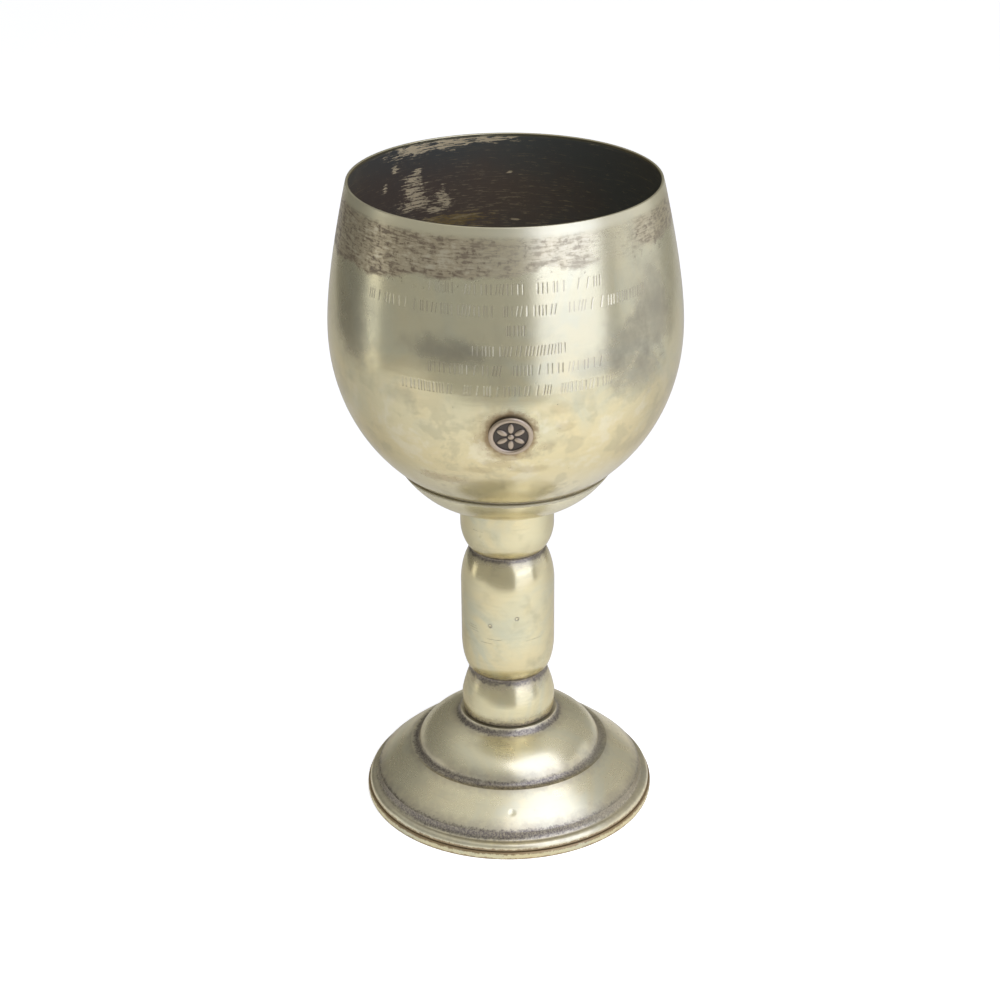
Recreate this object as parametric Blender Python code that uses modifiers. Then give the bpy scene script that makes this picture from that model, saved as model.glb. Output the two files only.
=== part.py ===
"""Commemorative cup: a spun sheet-metal goblet on a two-step domed foot, with a round badge on the bowl.

Every turned piece is a hollow shell whose outline runs round the Z axis. The pieces stand on each other
with a hairline joint between them, and the front of the cup, with its badge, faces -Y.
"""
import math

import bpy
from mathutils import Vector

# Bowl
BOWL_RADIUS = 0.05168
BOWL_BELLY_HEIGHT = 0.0542
BOWL_SHOULDER_HEIGHT = 0.0435
BOWL_STRAIGHT_BELLY = 0.0143
BOWL_MOUTH_RADIUS = 0.0450
BOWL_FULLNESS = 2.06
BOWL_WALL = 0.0008
LIP_ROUNDING = 0.00025

# Dish under the bowl
DISH_HEIGHT = 0.0111
DISH_WALL = 0.0008
DISH_EDGE_WALL = 0.0006
DISH_EDGE_GAP = 0.00035
DISH_EDGE_SLOPE = 56.0
DISH_EDGE_BEVEL = 0.0003
DISH_CORNER_EASE = 0.0002

# Stem: a barrel between two knops
BARREL_RADIUS = 0.01435
BARREL_HEIGHT = 0.0412
BARREL_TOP_ROUND = 0.0105
BARREL_FOOT_ROUND = 0.0095
UPPER_WAIST_DEPTH = 0.0030
LOWER_WAIST_DEPTH = 0.0026
UPPER_KNOP_SWELL = 0.0029
UPPER_KNOP_HEIGHT = 0.0164
UPPER_KNOP_ROUND = 0.0083
LOWER_KNOP_SWELL = 0.00265
LOWER_KNOP_HEIGHT = 0.0146
LOWER_KNOP_ROUND = 0.0087
LOWER_KNOP_TAPER = 0.0002
KNOP_EDGE_ROUNDING = 0.0004
STEM_WALL = 0.0010

# Foot, from the stem outwards
FOOT_WALL = 0.0008
COLLAR_MARGIN = 0.0007
COLLAR_RISE = 0.00205
COLLAR_COVE = 0.0013
UPPER_DOME_WIDTH = 0.01195
UPPER_DOME_RISE = 0.00815
STEP_COVE_WIDTH = 0.00285
STEP_COVE_RISE = 0.00175
LOWER_DOME_WIDTH = 0.0103
LOWER_DOME_RISE = 0.0085
EDGE_COVE_WIDTH = 0.0013
EDGE_COVE_RISE = 0.0026
EDGE_BEAD_WIDTH = 0.00175
EDGE_BEAD_HEIGHT = 0.0021
FOOT_HOLE_MARGIN = 0.0006

# Ring that the foot rests on
RING_HEIGHT = 0.00235
RING_WIDTH = 0.0038
RING_PROJECTION = 0.0007
RING_EDGE_SETBACK = 0.0003

# Badge
BADGE_RADIUS = 0.00615
BADGE_BELOW_BELLY = 0.0140
BADGE_PLATE = 0.0004
BADGE_RIM_WIDTH = 0.0015
BADGE_RIM_HEIGHT = 0.0006
BADGE_RIM_BEVEL = 0.0003
PETAL_COUNT = 6
PETAL_HEIGHT = 0.00045
PETAL_MARGIN = 0.0003
PETAL_SPREAD = 0.45
PETAL_ROOT_TURN = 0.2
BOSS_RADIUS = 0.0009
BADGE_RING_STEPS = 6

# Hairline joint between pieces that touch
JOINT_GAP = 0.0003

# How full each curve is: its corner, in from the wide end and up, as shares of its own width and rise
UPPER_KNOP_CORNER = (0.0, 0.42)
BARREL_TOP_CORNER = (0.13, 0.37)
BARREL_FOOT_CORNER = (0.11, 0.26)
LOWER_KNOP_CORNER = (0.25, 0.56)
COLLAR_TURN = (0.15, 0.5)
UPPER_DOME_CORNER = (0.25, 0.26)
STEP_COVE_CORNER = (0.18, 0.3)
LOWER_DOME_CORNER = (0.39, 0.53)
EDGE_COVE_CORNER = (0.15, 0.0)

# Facets round each turned piece
BOWL_STEPS = 52
FOOT_STEPS = 44
STEM_STEPS = 28
BADGE_STEPS = 30

# Facets along each curve of an outline, on the outer side and on the coarser inner side
BOWL_SHOULDER_FACETS = (6, 3)
BOWL_BELLY_FACETS = (11, 5)
DISH_FACETS = (6, 4)
STEM_FACETS = (4, 2)
FOOT_FACETS = (4, 2)
BEAD_FACETS = 3
RING_FACETS = 2

# Working values
MERGE_DISTANCE = 0.00001
MITRE_LIMIT = 1.6
SURVEY_STEPS = 200
SHARP_ANGLE = 30.0

# Radii and heights that follow from the sizes above
UPPER_WAIST_RADIUS = BARREL_RADIUS - UPPER_WAIST_DEPTH
LOWER_WAIST_RADIUS = BARREL_RADIUS - LOWER_WAIST_DEPTH
UPPER_KNOP_RADIUS = UPPER_WAIST_RADIUS + UPPER_KNOP_SWELL
LOWER_KNOP_RADIUS = LOWER_WAIST_RADIUS + LOWER_KNOP_SWELL
LOWER_KNOP_FOOT_RADIUS = LOWER_KNOP_RADIUS - LOWER_KNOP_TAPER
COLLAR_RADIUS = LOWER_KNOP_FOOT_RADIUS + COLLAR_MARGIN
UPPER_DOME_TOP_RADIUS = COLLAR_RADIUS + COLLAR_COVE
UPPER_DOME_RADIUS = UPPER_DOME_TOP_RADIUS + UPPER_DOME_WIDTH
LOWER_DOME_TOP_RADIUS = UPPER_DOME_RADIUS + STEP_COVE_WIDTH
LOWER_DOME_RADIUS = LOWER_DOME_TOP_RADIUS + LOWER_DOME_WIDTH
BEAD_INNER_RADIUS = LOWER_DOME_RADIUS + EDGE_COVE_WIDTH
FOOT_EDGE_RADIUS = BEAD_INNER_RADIUS + EDGE_BEAD_WIDTH
FOOT_HOLE_RADIUS = LOWER_WAIST_RADIUS - 2 * STEM_WALL - FOOT_HOLE_MARGIN
RING_RADIUS = FOOT_EDGE_RADIUS + RING_PROJECTION

LOWER_DOME_FOOT = EDGE_BEAD_HEIGHT + EDGE_COVE_RISE
LOWER_DOME_TOP = LOWER_DOME_FOOT + LOWER_DOME_RISE
UPPER_DOME_FOOT = LOWER_DOME_TOP + STEP_COVE_RISE
UPPER_DOME_TOP = UPPER_DOME_FOOT + UPPER_DOME_RISE
FOOT_HEIGHT = UPPER_DOME_TOP + COLLAR_RISE

FOOT_BASE = RING_HEIGHT + JOINT_GAP
LOWER_KNOP_BASE = FOOT_BASE + FOOT_HEIGHT + JOINT_GAP
BARREL_BASE = LOWER_KNOP_BASE + LOWER_KNOP_HEIGHT + JOINT_GAP
UPPER_KNOP_BASE = BARREL_BASE + BARREL_HEIGHT + JOINT_GAP
DISH_BASE = UPPER_KNOP_BASE + UPPER_KNOP_HEIGHT + JOINT_GAP
BOWL_BASE = DISH_BASE + DISH_WALL + JOINT_GAP
BOWL_HEIGHT = BOWL_BELLY_HEIGHT + BOWL_SHOULDER_HEIGHT

# Colour, roughness and metallic value of each piece
FINISHES = {
    "bowl": ((0.55, 0.50, 0.36), 0.34, 1.0),
    "calyx_dish": ((0.52, 0.48, 0.34), 0.32, 1.0),
    "upper_knop": ((0.56, 0.51, 0.35), 0.30, 1.0),
    "stem_barrel": ((0.55, 0.50, 0.34), 0.30, 1.0),
    "lower_knop": ((0.52, 0.48, 0.34), 0.32, 1.0),
    "foot": ((0.50, 0.46, 0.33), 0.34, 1.0),
    "base_ring": ((0.46, 0.42, 0.29), 0.38, 1.0),
    "badge": ((0.42, 0.39, 0.31), 0.42, 1.0),
}


def clear_scene():
    """Remove every object, so that the cup is all that the file holds."""
    for thing in list(bpy.data.objects):
        bpy.data.objects.remove(thing, do_unlink=True)


def bend(start, corner, end, count):
    """Points of a quadratic curve that leaves start towards corner and arrives at end, start left out."""
    points = []
    for step in range(1, count + 1):
        t = step / count
        a, b, c = (1 - t) ** 2, 2 * t * (1 - t), t * t
        points.append((a * start[0] + b * corner[0] + c * end[0], a * start[1] + b * corner[1] + c * end[1]))
    return points


def outward_normal(before, after):
    """Unit normal on the outer side of an outline that runs from before to after, top to bottom."""
    across, up = after[0] - before[0], after[1] - before[1]
    length = math.hypot(across, up)
    return -up / length, across / length


def inset(points, distance):
    """The outline moved inwards by a wall thickness, with mitred corners and its ends kept level."""
    moved = []
    for index, (radius, height) in enumerate(points):
        first = outward_normal(points[max(index - 1, 0)], points[max(index, 1)])
        last = len(points) - 1
        second = outward_normal(points[min(index, last - 1)], points[min(index + 1, last)])
        across, up = first[0] + second[0], first[1] + second[1]
        length = math.hypot(across, up)
        across, up = across / length, up / length
        if index in (0, last):
            moved.append((radius - distance * min(1 / abs(across), MITRE_LIMIT), height))
            continue
        mitre = min(1 / (across * first[0] + up * first[1]), MITRE_LIMIT)
        moved.append((radius - distance * mitre * across, height - distance * mitre * up))
    return moved


def bowl_radius_at(height):
    """Outer radius of the bowl at a height above its own base, at or under the belly."""
    share = (BOWL_BELLY_HEIGHT - height) / BOWL_BELLY_HEIGHT
    return BOWL_RADIUS * (1 - share**BOWL_FULLNESS) ** (1 / BOWL_FULLNESS)


def bowl_side(shoulder_count, belly_count):
    """Outer side of the bowl from under the lip down to the middle of its base."""
    mouth = (BOWL_MOUTH_RADIUS, BOWL_HEIGHT)
    belly = (BOWL_RADIUS, BOWL_BELLY_HEIGHT)
    corner = (BOWL_RADIUS, BOWL_BELLY_HEIGHT + BOWL_STRAIGHT_BELLY)
    points = [mouth] + bend(mouth, corner, belly, shoulder_count)
    power = 2 / BOWL_FULLNESS
    for step in range(1, belly_count):
        angle = math.pi / 2 * step / belly_count
        drop = BOWL_BELLY_HEIGHT * math.sin(angle) ** power
        points.append((BOWL_RADIUS * math.cos(angle) ** power, BOWL_BELLY_HEIGHT - drop))
    return points


def bowl_outline():
    """Section of the bowl, from the middle of its floor over the lip to the middle of its underside."""
    outside = bowl_side(BOWL_SHOULDER_FACETS[0], BOWL_BELLY_FACETS[0])
    inside = inset(bowl_side(BOWL_SHOULDER_FACETS[1], BOWL_BELLY_FACETS[1]), BOWL_WALL)
    outside[0] = (outside[0][0], BOWL_HEIGHT - LIP_ROUNDING)
    inside[0] = (BOWL_MOUTH_RADIUS - BOWL_WALL, BOWL_HEIGHT - LIP_ROUNDING)
    lip = [(inside[0][0] + LIP_ROUNDING, BOWL_HEIGHT), (outside[0][0] - LIP_ROUNDING, BOWL_HEIGHT)]
    return [(0.0, BOWL_WALL)] + inside[::-1] + lip + outside + [(0.0, 0.0)]


def dish_outline():
    """Section of the dish, whose edge stands just clear of the bowl."""
    bowl_lift = BOWL_BASE - DISH_BASE
    edge_inside = bowl_radius_at(DISH_HEIGHT - bowl_lift) + DISH_EDGE_GAP
    edge = (edge_inside + DISH_EDGE_WALL, DISH_HEIGHT - DISH_EDGE_BEVEL)
    seat = (UPPER_KNOP_RADIUS, 0.0)
    corner = (edge[0] - edge[1] / math.tan(math.radians(DISH_EDGE_SLOPE)), 0.0)
    outside = [edge] + bend(edge, corner, seat, DISH_FACETS[0])
    top = (edge_inside, DISH_HEIGHT)
    inner_corner = (corner[0] - DISH_CORNER_EASE, DISH_WALL)
    inside = [top] + bend(top, inner_corner, (UPPER_KNOP_RADIUS, DISH_WALL), DISH_FACETS[1])
    return [(0.0, DISH_WALL)] + inside[::-1] + outside + [(0.0, 0.0)]


def upper_knop_side(count):
    """Outer side of the upper knop: straight above, rounded in to the waist below."""
    top = (UPPER_KNOP_RADIUS, UPPER_KNOP_HEIGHT)
    turn = (UPPER_KNOP_RADIUS, UPPER_KNOP_ROUND)
    waist = (UPPER_WAIST_RADIUS, 0.0)
    inward, up = UPPER_KNOP_CORNER
    corner = (UPPER_KNOP_RADIUS - UPPER_KNOP_SWELL * inward, UPPER_KNOP_ROUND * up)
    return [top, turn] + bend(turn, corner, waist, count)


def barrel_side(count):
    """Outer side of the barrel: rounded in to a waist at both ends."""
    top = (UPPER_WAIST_RADIUS, BARREL_HEIGHT)
    upper_turn = (BARREL_RADIUS, BARREL_HEIGHT - BARREL_TOP_ROUND)
    lower_turn = (BARREL_RADIUS, BARREL_FOOT_ROUND)
    foot = (LOWER_WAIST_RADIUS, 0.0)
    inward, down = BARREL_TOP_CORNER
    upper_corner = (BARREL_RADIUS - UPPER_WAIST_DEPTH * inward, BARREL_HEIGHT - BARREL_TOP_ROUND * down)
    inward, up = BARREL_FOOT_CORNER
    lower_corner = (BARREL_RADIUS - LOWER_WAIST_DEPTH * inward, BARREL_FOOT_ROUND * up)
    shoulder = bend(top, upper_corner, upper_turn, count)
    return [top] + shoulder + [lower_turn] + bend(lower_turn, lower_corner, foot, count)


def lower_knop_side(count):
    """Outer side of the lower knop: rounded out from the waist, then nearly straight to its foot."""
    top = (LOWER_WAIST_RADIUS, LOWER_KNOP_HEIGHT)
    turn = (LOWER_KNOP_RADIUS, LOWER_KNOP_HEIGHT - LOWER_KNOP_ROUND)
    inward, down = LOWER_KNOP_CORNER
    corner_height = LOWER_KNOP_HEIGHT - LOWER_KNOP_ROUND * down
    corner = (LOWER_KNOP_RADIUS - LOWER_KNOP_SWELL * inward, corner_height)
    edge = (LOWER_KNOP_FOOT_RADIUS, KNOP_EDGE_ROUNDING)
    foot = (LOWER_KNOP_FOOT_RADIUS - KNOP_EDGE_ROUNDING, 0.0)
    return [top] + bend(top, corner, turn, count) + [edge, foot]


def tube_outline(outside, inner_guide, wall):
    """Section of an open-ended hollow piece, whose inside follows a coarser guide of its outer side."""
    return outside + inset(inner_guide, wall)[::-1]


def foot_side(count):
    """Upper side of the foot, from the collar under the stem out to the bead at its edge."""
    collar = (COLLAR_RADIUS, FOOT_HEIGHT)
    out, down = COLLAR_TURN
    collar_edge = (COLLAR_RADIUS + COLLAR_COVE * out, FOOT_HEIGHT - COLLAR_RISE * down)
    upper_top = (UPPER_DOME_TOP_RADIUS, UPPER_DOME_TOP)
    upper_foot = (UPPER_DOME_RADIUS, UPPER_DOME_FOOT)
    inward, down = UPPER_DOME_CORNER
    upper_corner = (UPPER_DOME_RADIUS - UPPER_DOME_WIDTH * inward, UPPER_DOME_TOP - UPPER_DOME_RISE * down)
    out, down = STEP_COVE_CORNER
    step_corner = (UPPER_DOME_RADIUS + STEP_COVE_WIDTH * out, LOWER_DOME_TOP - STEP_COVE_RISE * down)
    lower_top = (LOWER_DOME_TOP_RADIUS, LOWER_DOME_TOP)
    lower_foot = (LOWER_DOME_RADIUS, LOWER_DOME_FOOT)
    inward, down = LOWER_DOME_CORNER
    lower_corner = (LOWER_DOME_RADIUS - LOWER_DOME_WIDTH * inward, LOWER_DOME_TOP - LOWER_DOME_RISE * down)
    out, up = EDGE_COVE_CORNER
    edge_corner = (LOWER_DOME_RADIUS + EDGE_COVE_WIDTH * out, EDGE_BEAD_HEIGHT + EDGE_COVE_RISE * up)
    bead_top = (BEAD_INNER_RADIUS, EDGE_BEAD_HEIGHT)
    cove_count = max(1, count // 2)
    points = [collar, collar_edge, upper_top]
    points += bend(upper_top, upper_corner, upper_foot, count)
    points += bend(upper_foot, step_corner, lower_top, cove_count + 1)
    points += bend(lower_top, lower_corner, lower_foot, count)
    points += bend(lower_foot, edge_corner, bead_top, cove_count)
    return points


def foot_outline():
    """Section of the foot, a sheet open beneath, with a hole under the stem."""
    bead_top = (BEAD_INNER_RADIUS, EDGE_BEAD_HEIGHT)
    edge = (FOOT_EDGE_RADIUS, 0.0)
    bead = bend(bead_top, (FOOT_EDGE_RADIUS, EDGE_BEAD_HEIGHT), edge, BEAD_FACETS)
    underside = inset(foot_side(FOOT_FACETS[1]), FOOT_WALL)
    collar_floor = FOOT_HEIGHT - COLLAR_RISE * COLLAR_TURN[1]
    seat = [(FOOT_HOLE_RADIUS, FOOT_HEIGHT)]
    under_collar = [(FOOT_HOLE_RADIUS, collar_floor)]
    under_edge = [(BEAD_INNER_RADIUS - FOOT_WALL, 0.0)]
    return seat + foot_side(FOOT_FACETS[0]) + bead + under_edge + underside[:1:-1] + under_collar


def ring_outline():
    """Section of the base ring: flat above and beneath, half round outside."""
    inner = RING_RADIUS - RING_WIDTH
    top = (RING_RADIUS - 2 * RING_EDGE_SETBACK, RING_HEIGHT)
    widest = (RING_RADIUS, RING_HEIGHT / 2)
    foot = (RING_RADIUS - RING_EDGE_SETBACK, 0.0)
    upper_side = bend(top, (RING_RADIUS, RING_HEIGHT), widest, RING_FACETS)
    lower_side = bend(widest, (RING_RADIUS, 0.0), foot, RING_FACETS)
    return [(inner, RING_HEIGHT), top] + upper_side + lower_side + [(inner, 0.0)]


def badge_outline():
    """Section of the badge about its own axis: a plate with a raised rim."""
    ground = BADGE_RADIUS - BADGE_RIM_WIDTH
    crest = BADGE_PLATE + BADGE_RIM_HEIGHT
    points = [(ground * ring / BADGE_RING_STEPS, BADGE_PLATE) for ring in range(BADGE_RING_STEPS + 1)]
    points += [(ground + BADGE_RIM_BEVEL, crest), (BADGE_RADIUS - BADGE_RIM_BEVEL, crest)]
    points += [(BADGE_RADIUS, BADGE_PLATE)]
    points += [(BADGE_RADIUS, 0.0), (BADGE_RADIUS / 2, 0.0), (0.0, 0.0)]
    return points


def petal_height(radius, angle):
    """Height of the rosette above the badge's ground: lens-shaped petals round a central boss."""
    if radius < BOSS_RADIUS:
        return PETAL_HEIGHT
    reach = BADGE_RADIUS - BADGE_RIM_WIDTH - PETAL_MARGIN
    along = (radius - BOSS_RADIUS) / (reach - BOSS_RADIUS)
    if along >= 1:
        return 0.0
    sector = 2 * math.pi / PETAL_COUNT
    aside = abs((angle + sector / 2) % sector - sector / 2)
    swell = math.sin(math.pi * (PETAL_ROOT_TURN + (1 - PETAL_ROOT_TURN) * along))
    half_width = sector * PETAL_SPREAD * swell
    if aside >= half_width:
        return 0.0
    return PETAL_HEIGHT * math.sqrt(1 - (aside / half_width) ** 2)


def bowl_meridian():
    """Fine outline of the bowl's lower half with the length run from the badge's centre, going up."""
    centre = BOWL_BELLY_HEIGHT - BADGE_BELOW_BELLY
    span = 2 * BADGE_RADIUS
    heights = [centre + span * (step / SURVEY_STEPS - 0.5) * 2 for step in range(SURVEY_STEPS + 1)]
    heights = [min(height, BOWL_BELLY_HEIGHT) for height in heights]
    points = [(bowl_radius_at(height), height) for height in heights]
    runs = [0.0]
    for first, second in zip(points, points[1:]):
        runs.append(runs[-1] + math.dist(first, second))
    middle = runs[SURVEY_STEPS // 2]
    return points, [run - middle for run in runs]


def wrap_on_bowl(mesh):
    """Lay a flat piece, drawn about the Z axis, on the front of the bowl so that it follows the curve."""
    points, runs = bowl_meridian()
    centre_radius = points[SURVEY_STEPS // 2][0]
    for vertex in mesh.vertices:
        across, up, height = vertex.co
        index = max(i for i in range(SURVEY_STEPS) if runs[i] <= up)
        share = (up - runs[index]) / (runs[index + 1] - runs[index])
        radius = points[index][0] + share * (points[index + 1][0] - points[index][0])
        level = points[index][1] + share * (points[index + 1][1] - points[index][1])
        normal = outward_normal(points[index + 1], points[index])
        lift = JOINT_GAP + height
        turn = across / centre_radius
        out = radius + lift * normal[0]
        vertex.co = Vector((out * math.sin(turn), -out * math.cos(turn), level + lift * normal[1]))


def make_material(name):
    """Principled material of one piece."""
    colour, roughness, metallic = FINISHES[name]
    material = bpy.data.materials.new(name + "_finish")
    material.use_nodes = True
    shader = material.node_tree.nodes["Principled BSDF"]
    shader.inputs["Base Color"].default_value = (*colour, 1.0)
    shader.inputs["Roughness"].default_value = roughness
    shader.inputs["Metallic"].default_value = metallic
    material.diffuse_color = (*colour, 1.0)
    return material


def profile_mesh(name, points, closed):
    """Mesh of edges that follows an outline in the XZ plane."""
    mesh = bpy.data.meshes.new(name)
    count = len(points)
    edges = [(i, i + 1) for i in range(count - 1)]
    if closed:
        edges.append((count - 1, 0))
    mesh.from_pydata([(radius, 0.0, height) for radius, height in points], edges, [])
    mesh.materials.append(make_material(name))
    return mesh


def turned_piece(name, points, base, steps, collection, parent, closed=True):
    """Object whose outline is turned round the Z axis, standing at a height."""
    piece = bpy.data.objects.new(name, profile_mesh(name, points, closed))
    collection.objects.link(piece)
    piece.parent = parent
    piece.location = (0.0, 0.0, base)
    turn = piece.modifiers.new("turn", "SCREW")
    turn.axis = "Z"
    turn.angle = 2 * math.pi
    turn.steps = steps
    turn.render_steps = steps
    turn.use_merge_vertices = True
    turn.merge_threshold = MERGE_DISTANCE
    turn.use_smooth_shade = True
    return piece


def badge_piece(collection, parent):
    """The badge: turned flat, its rosette raised, then laid on the bowl."""
    blank = turned_piece("badge", badge_outline(), 0.0, BADGE_STEPS, collection, None, closed=False)
    evaluated = blank.evaluated_get(bpy.context.evaluated_depsgraph_get())
    mesh = bpy.data.meshes.new_from_object(evaluated)
    old_mesh = blank.data
    blank.modifiers.clear()
    blank.data = mesh
    bpy.data.meshes.remove(old_mesh)
    ground = BADGE_RADIUS - BADGE_RIM_WIDTH
    for vertex in mesh.vertices:
        radius = math.hypot(vertex.co.x, vertex.co.y)
        on_ground = abs(vertex.co.z - BADGE_PLATE) < MERGE_DISTANCE and radius < ground
        if on_ground:
            vertex.co.z += petal_height(radius, math.atan2(vertex.co.y, vertex.co.x))
    wrap_on_bowl(mesh)
    blank.parent = parent
    blank.location = (0.0, 0.0, BOWL_BASE)
    mesh.shade_smooth()
    mesh.set_sharp_from_angle(angle=math.radians(SHARP_ANGLE))
    return blank


def build_cup():
    """Make every piece and stack them on the base ring."""
    clear_scene()
    collection = bpy.data.collections.new("commemorative_cup")
    bpy.context.scene.collection.children.link(collection)
    cup = bpy.data.objects.new("cup", None)
    collection.objects.link(cup)

    fine, coarse = STEM_FACETS
    knop_top = tube_outline(upper_knop_side(fine), upper_knop_side(coarse), STEM_WALL)
    barrel = tube_outline(barrel_side(fine), barrel_side(coarse), STEM_WALL)
    knop_foot = tube_outline(lower_knop_side(fine), lower_knop_side(coarse), STEM_WALL)
    turned_piece("base_ring", ring_outline(), 0.0, FOOT_STEPS, collection, cup)
    turned_piece("foot", foot_outline(), FOOT_BASE, FOOT_STEPS, collection, cup)
    turned_piece("lower_knop", knop_foot, LOWER_KNOP_BASE, STEM_STEPS, collection, cup)
    turned_piece("stem_barrel", barrel, BARREL_BASE, STEM_STEPS, collection, cup)
    turned_piece("upper_knop", knop_top, UPPER_KNOP_BASE, STEM_STEPS, collection, cup)
    turned_piece("calyx_dish", dish_outline(), DISH_BASE, FOOT_STEPS, collection, cup, closed=False)
    turned_piece("bowl", bowl_outline(), BOWL_BASE, BOWL_STEPS, collection, cup, closed=False)
    badge_piece(collection, cup)


build_cup()
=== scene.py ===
"""Commemorative cup: the finished surfaces of a spun and soldered silver goblet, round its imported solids.

The cup stands on the origin with its axis on Z, and its badge faces -Y. Lengths are in metres.
"""
import math
import random
from collections import namedtuple

import bpy
import numpy as np
from bpy.props import FloatProperty, FloatVectorProperty, IntProperty, PointerProperty
from mathutils import Matrix, Vector


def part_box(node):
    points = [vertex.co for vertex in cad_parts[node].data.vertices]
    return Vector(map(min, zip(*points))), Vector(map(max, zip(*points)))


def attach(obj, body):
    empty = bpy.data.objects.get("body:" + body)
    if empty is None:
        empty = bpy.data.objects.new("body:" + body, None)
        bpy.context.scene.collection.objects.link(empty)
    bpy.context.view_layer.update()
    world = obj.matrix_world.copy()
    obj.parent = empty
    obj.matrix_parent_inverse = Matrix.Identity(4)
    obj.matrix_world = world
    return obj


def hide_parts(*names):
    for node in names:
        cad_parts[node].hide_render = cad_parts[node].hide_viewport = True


bl_info = {
    "name": "Commemorative Cup",
    "version": (1, 0, 0),
    "blender": (4, 5, 0),
    "location": "View3D > Sidebar > Cup",
    "description": "Builds a tarnished silver presentation goblet and the studio that shows it",
    "category": "Object",
}

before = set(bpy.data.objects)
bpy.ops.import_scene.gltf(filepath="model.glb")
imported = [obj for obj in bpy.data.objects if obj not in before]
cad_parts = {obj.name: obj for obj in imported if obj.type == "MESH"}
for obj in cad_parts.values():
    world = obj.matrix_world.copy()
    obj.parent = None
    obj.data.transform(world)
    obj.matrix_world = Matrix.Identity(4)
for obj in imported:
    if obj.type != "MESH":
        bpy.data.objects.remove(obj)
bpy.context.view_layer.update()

BOWL_LOW, BOWL_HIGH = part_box("bowl")
DISH_LOW, DISH_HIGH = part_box("calyx_dish")
UPPER_KNOP_LOW, UPPER_KNOP_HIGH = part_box("upper_knop")
BARREL_LOW, BARREL_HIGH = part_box("stem_barrel")
LOWER_KNOP_LOW, LOWER_KNOP_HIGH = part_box("lower_knop")
FOOT_LOW, FOOT_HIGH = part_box("foot")
RING_LOW, RING_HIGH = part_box("base_ring")

# How full each curve is: its corner, in from the wide end and up, as shares of its own width and rise
UPPER_KNOP_CORNER = (0.0, 0.42)
BARREL_TOP_CORNER = (0.13, 0.37)
BARREL_FOOT_CORNER = (0.11, 0.26)
LOWER_KNOP_CORNER = (0.25, 0.56)
COLLAR_TURN = (0.15, 0.5)
UPPER_DOME_CORNER = (0.25, 0.26)
STEP_COVE_CORNER = (0.18, 0.3)
LOWER_DOME_CORNER = (0.39, 0.53)
EDGE_COVE_CORNER = (0.15, 0.0)

# Working values
SEAM_DISTANCE = 0.000002
MITRE_LIMIT = 1.6
SMOOTH_ANGLE = math.radians(32)
START_SIZE = 0.001
BARREL_LEVEL_STEP = 0.0015

# Engraved rows on the bowl: height above its base, the angles they run between (0 is the front and
# positive is towards +X), and how many marks each run of marks has
Row = namedtuple("Row", "height start end runs")
ROWS = (
    Row(0.0818, -27.8, 31.0, (3, 6, 3, 3)),
    Row(0.0760, -50.3, 49.6, (13, 5, 9)),
    Row(0.0708, -1.2, 4.9, (2,)),
    Row(0.0652, -12.2, 17.5, (9,)),
    Row(0.0598, -25.9, 30.5, (7, 9)),
    Row(0.0539, -35.2, 33.2, (6, 9, 6)),
)
# Strokes of one mark, side by side, each from one end to the other: across and up, as shares of its room
MARKS = (
    (((0.25, -0.50), (0.25, 0.50)), ((0.68, -0.50), (0.68, 0.50))),
    (((0.22, -0.50), (0.36, 0.50)), ((0.60, -0.50), (0.74, 0.50))),
    (((0.15, -0.50), (0.15, 0.50)), ((0.80, -0.50), (0.80, 0.50))),
    (((0.12, -0.50), (0.26, 0.50)), ((0.43, -0.50), (0.57, 0.50)), ((0.74, -0.50), (0.88, 0.50))),
    (((0.18, -0.50), (0.18, 0.50)), ((0.50, -0.50), (0.50, 0.50)), ((0.82, -0.50), (0.82, 0.50))),
    (((0.43, -0.50), (0.57, 0.50)),),
    (((0.14, -0.50), (0.14, 0.50)), ((0.38, -0.50), (0.38, 0.50)), ((0.80, -0.50), (0.80, 0.50))),
)
Stroke = namedtuple("Stroke", "start end width depth")

# A stain: its angle round the cup in degrees (0 is the front, positive is towards +X), its height, its
# reach along each axis and its strength
Stain = namedtuple("Stain", "angle height reach strength", defaults=(1.0,))
# Soft clouds of grey tarnish on the bowl; the two at the left edge, near -57 degrees, are also a painted dark
# reflection of the dim room
TARNISH_AND_PAINTED_REFLECTION_CLOUDS = (
    Stain(-21.6, 0.1668, (0.0095, 0.0080, 0.0034), 0.63),
    Stain(-12.2, 0.1653, (0.0080, 0.0060, 0.0028), 0.36),
    Stain(52.7, 0.1680, (0.0075, 0.0100, 0.0090), 0.585),
    Stain(40.1, 0.1641, (0.0070, 0.0080, 0.0065), 0.54),
    Stain(44.4, 0.1557, (0.0085, 0.0080, 0.0055), 0.585),
    Stain(30.2, 0.1613, (0.0070, 0.0060, 0.0035), 0.36),
    Stain(53.1, 0.1770, (0.0080, 0.0100, 0.0080), 0.405),
    Stain(-56.9, 0.1640, (0.0065, 0.0110, 0.0080), 0.495),
    Stain(-57.6, 0.1740, (0.0060, 0.0100, 0.0080), 0.36),
    Stain(-35, 0.1516, (0.0045, 0.0045, 0.0024), 0.252),
)
# Brown stains under the badge and yellow-brown drops to its right
BROWN_STAINS = (
    Stain(-3.8, 0.1322, (0.0045, 0.0040, 0.0015), 0.26),
    Stain(6.9, 0.1300, (0.0055, 0.0040, 0.0013), 0.26),
    Stain(-10.8, 0.1297, (0.0040, 0.0040, 0.0012), 0.26),
    Stain(-26.6, 0.1245, (0.0075, 0.0070, 0.0018), 0.36),
    Stain(15.1, 0.1500, (0.0030, 0.0030, 0.0022), 0.18),
    Stain(17.3, 0.1438, (0.0024, 0.0024, 0.0016), 0.2),
    Stain(12.2, 0.1380, (0.0026, 0.0026, 0.0013), 0.2),
)
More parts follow.
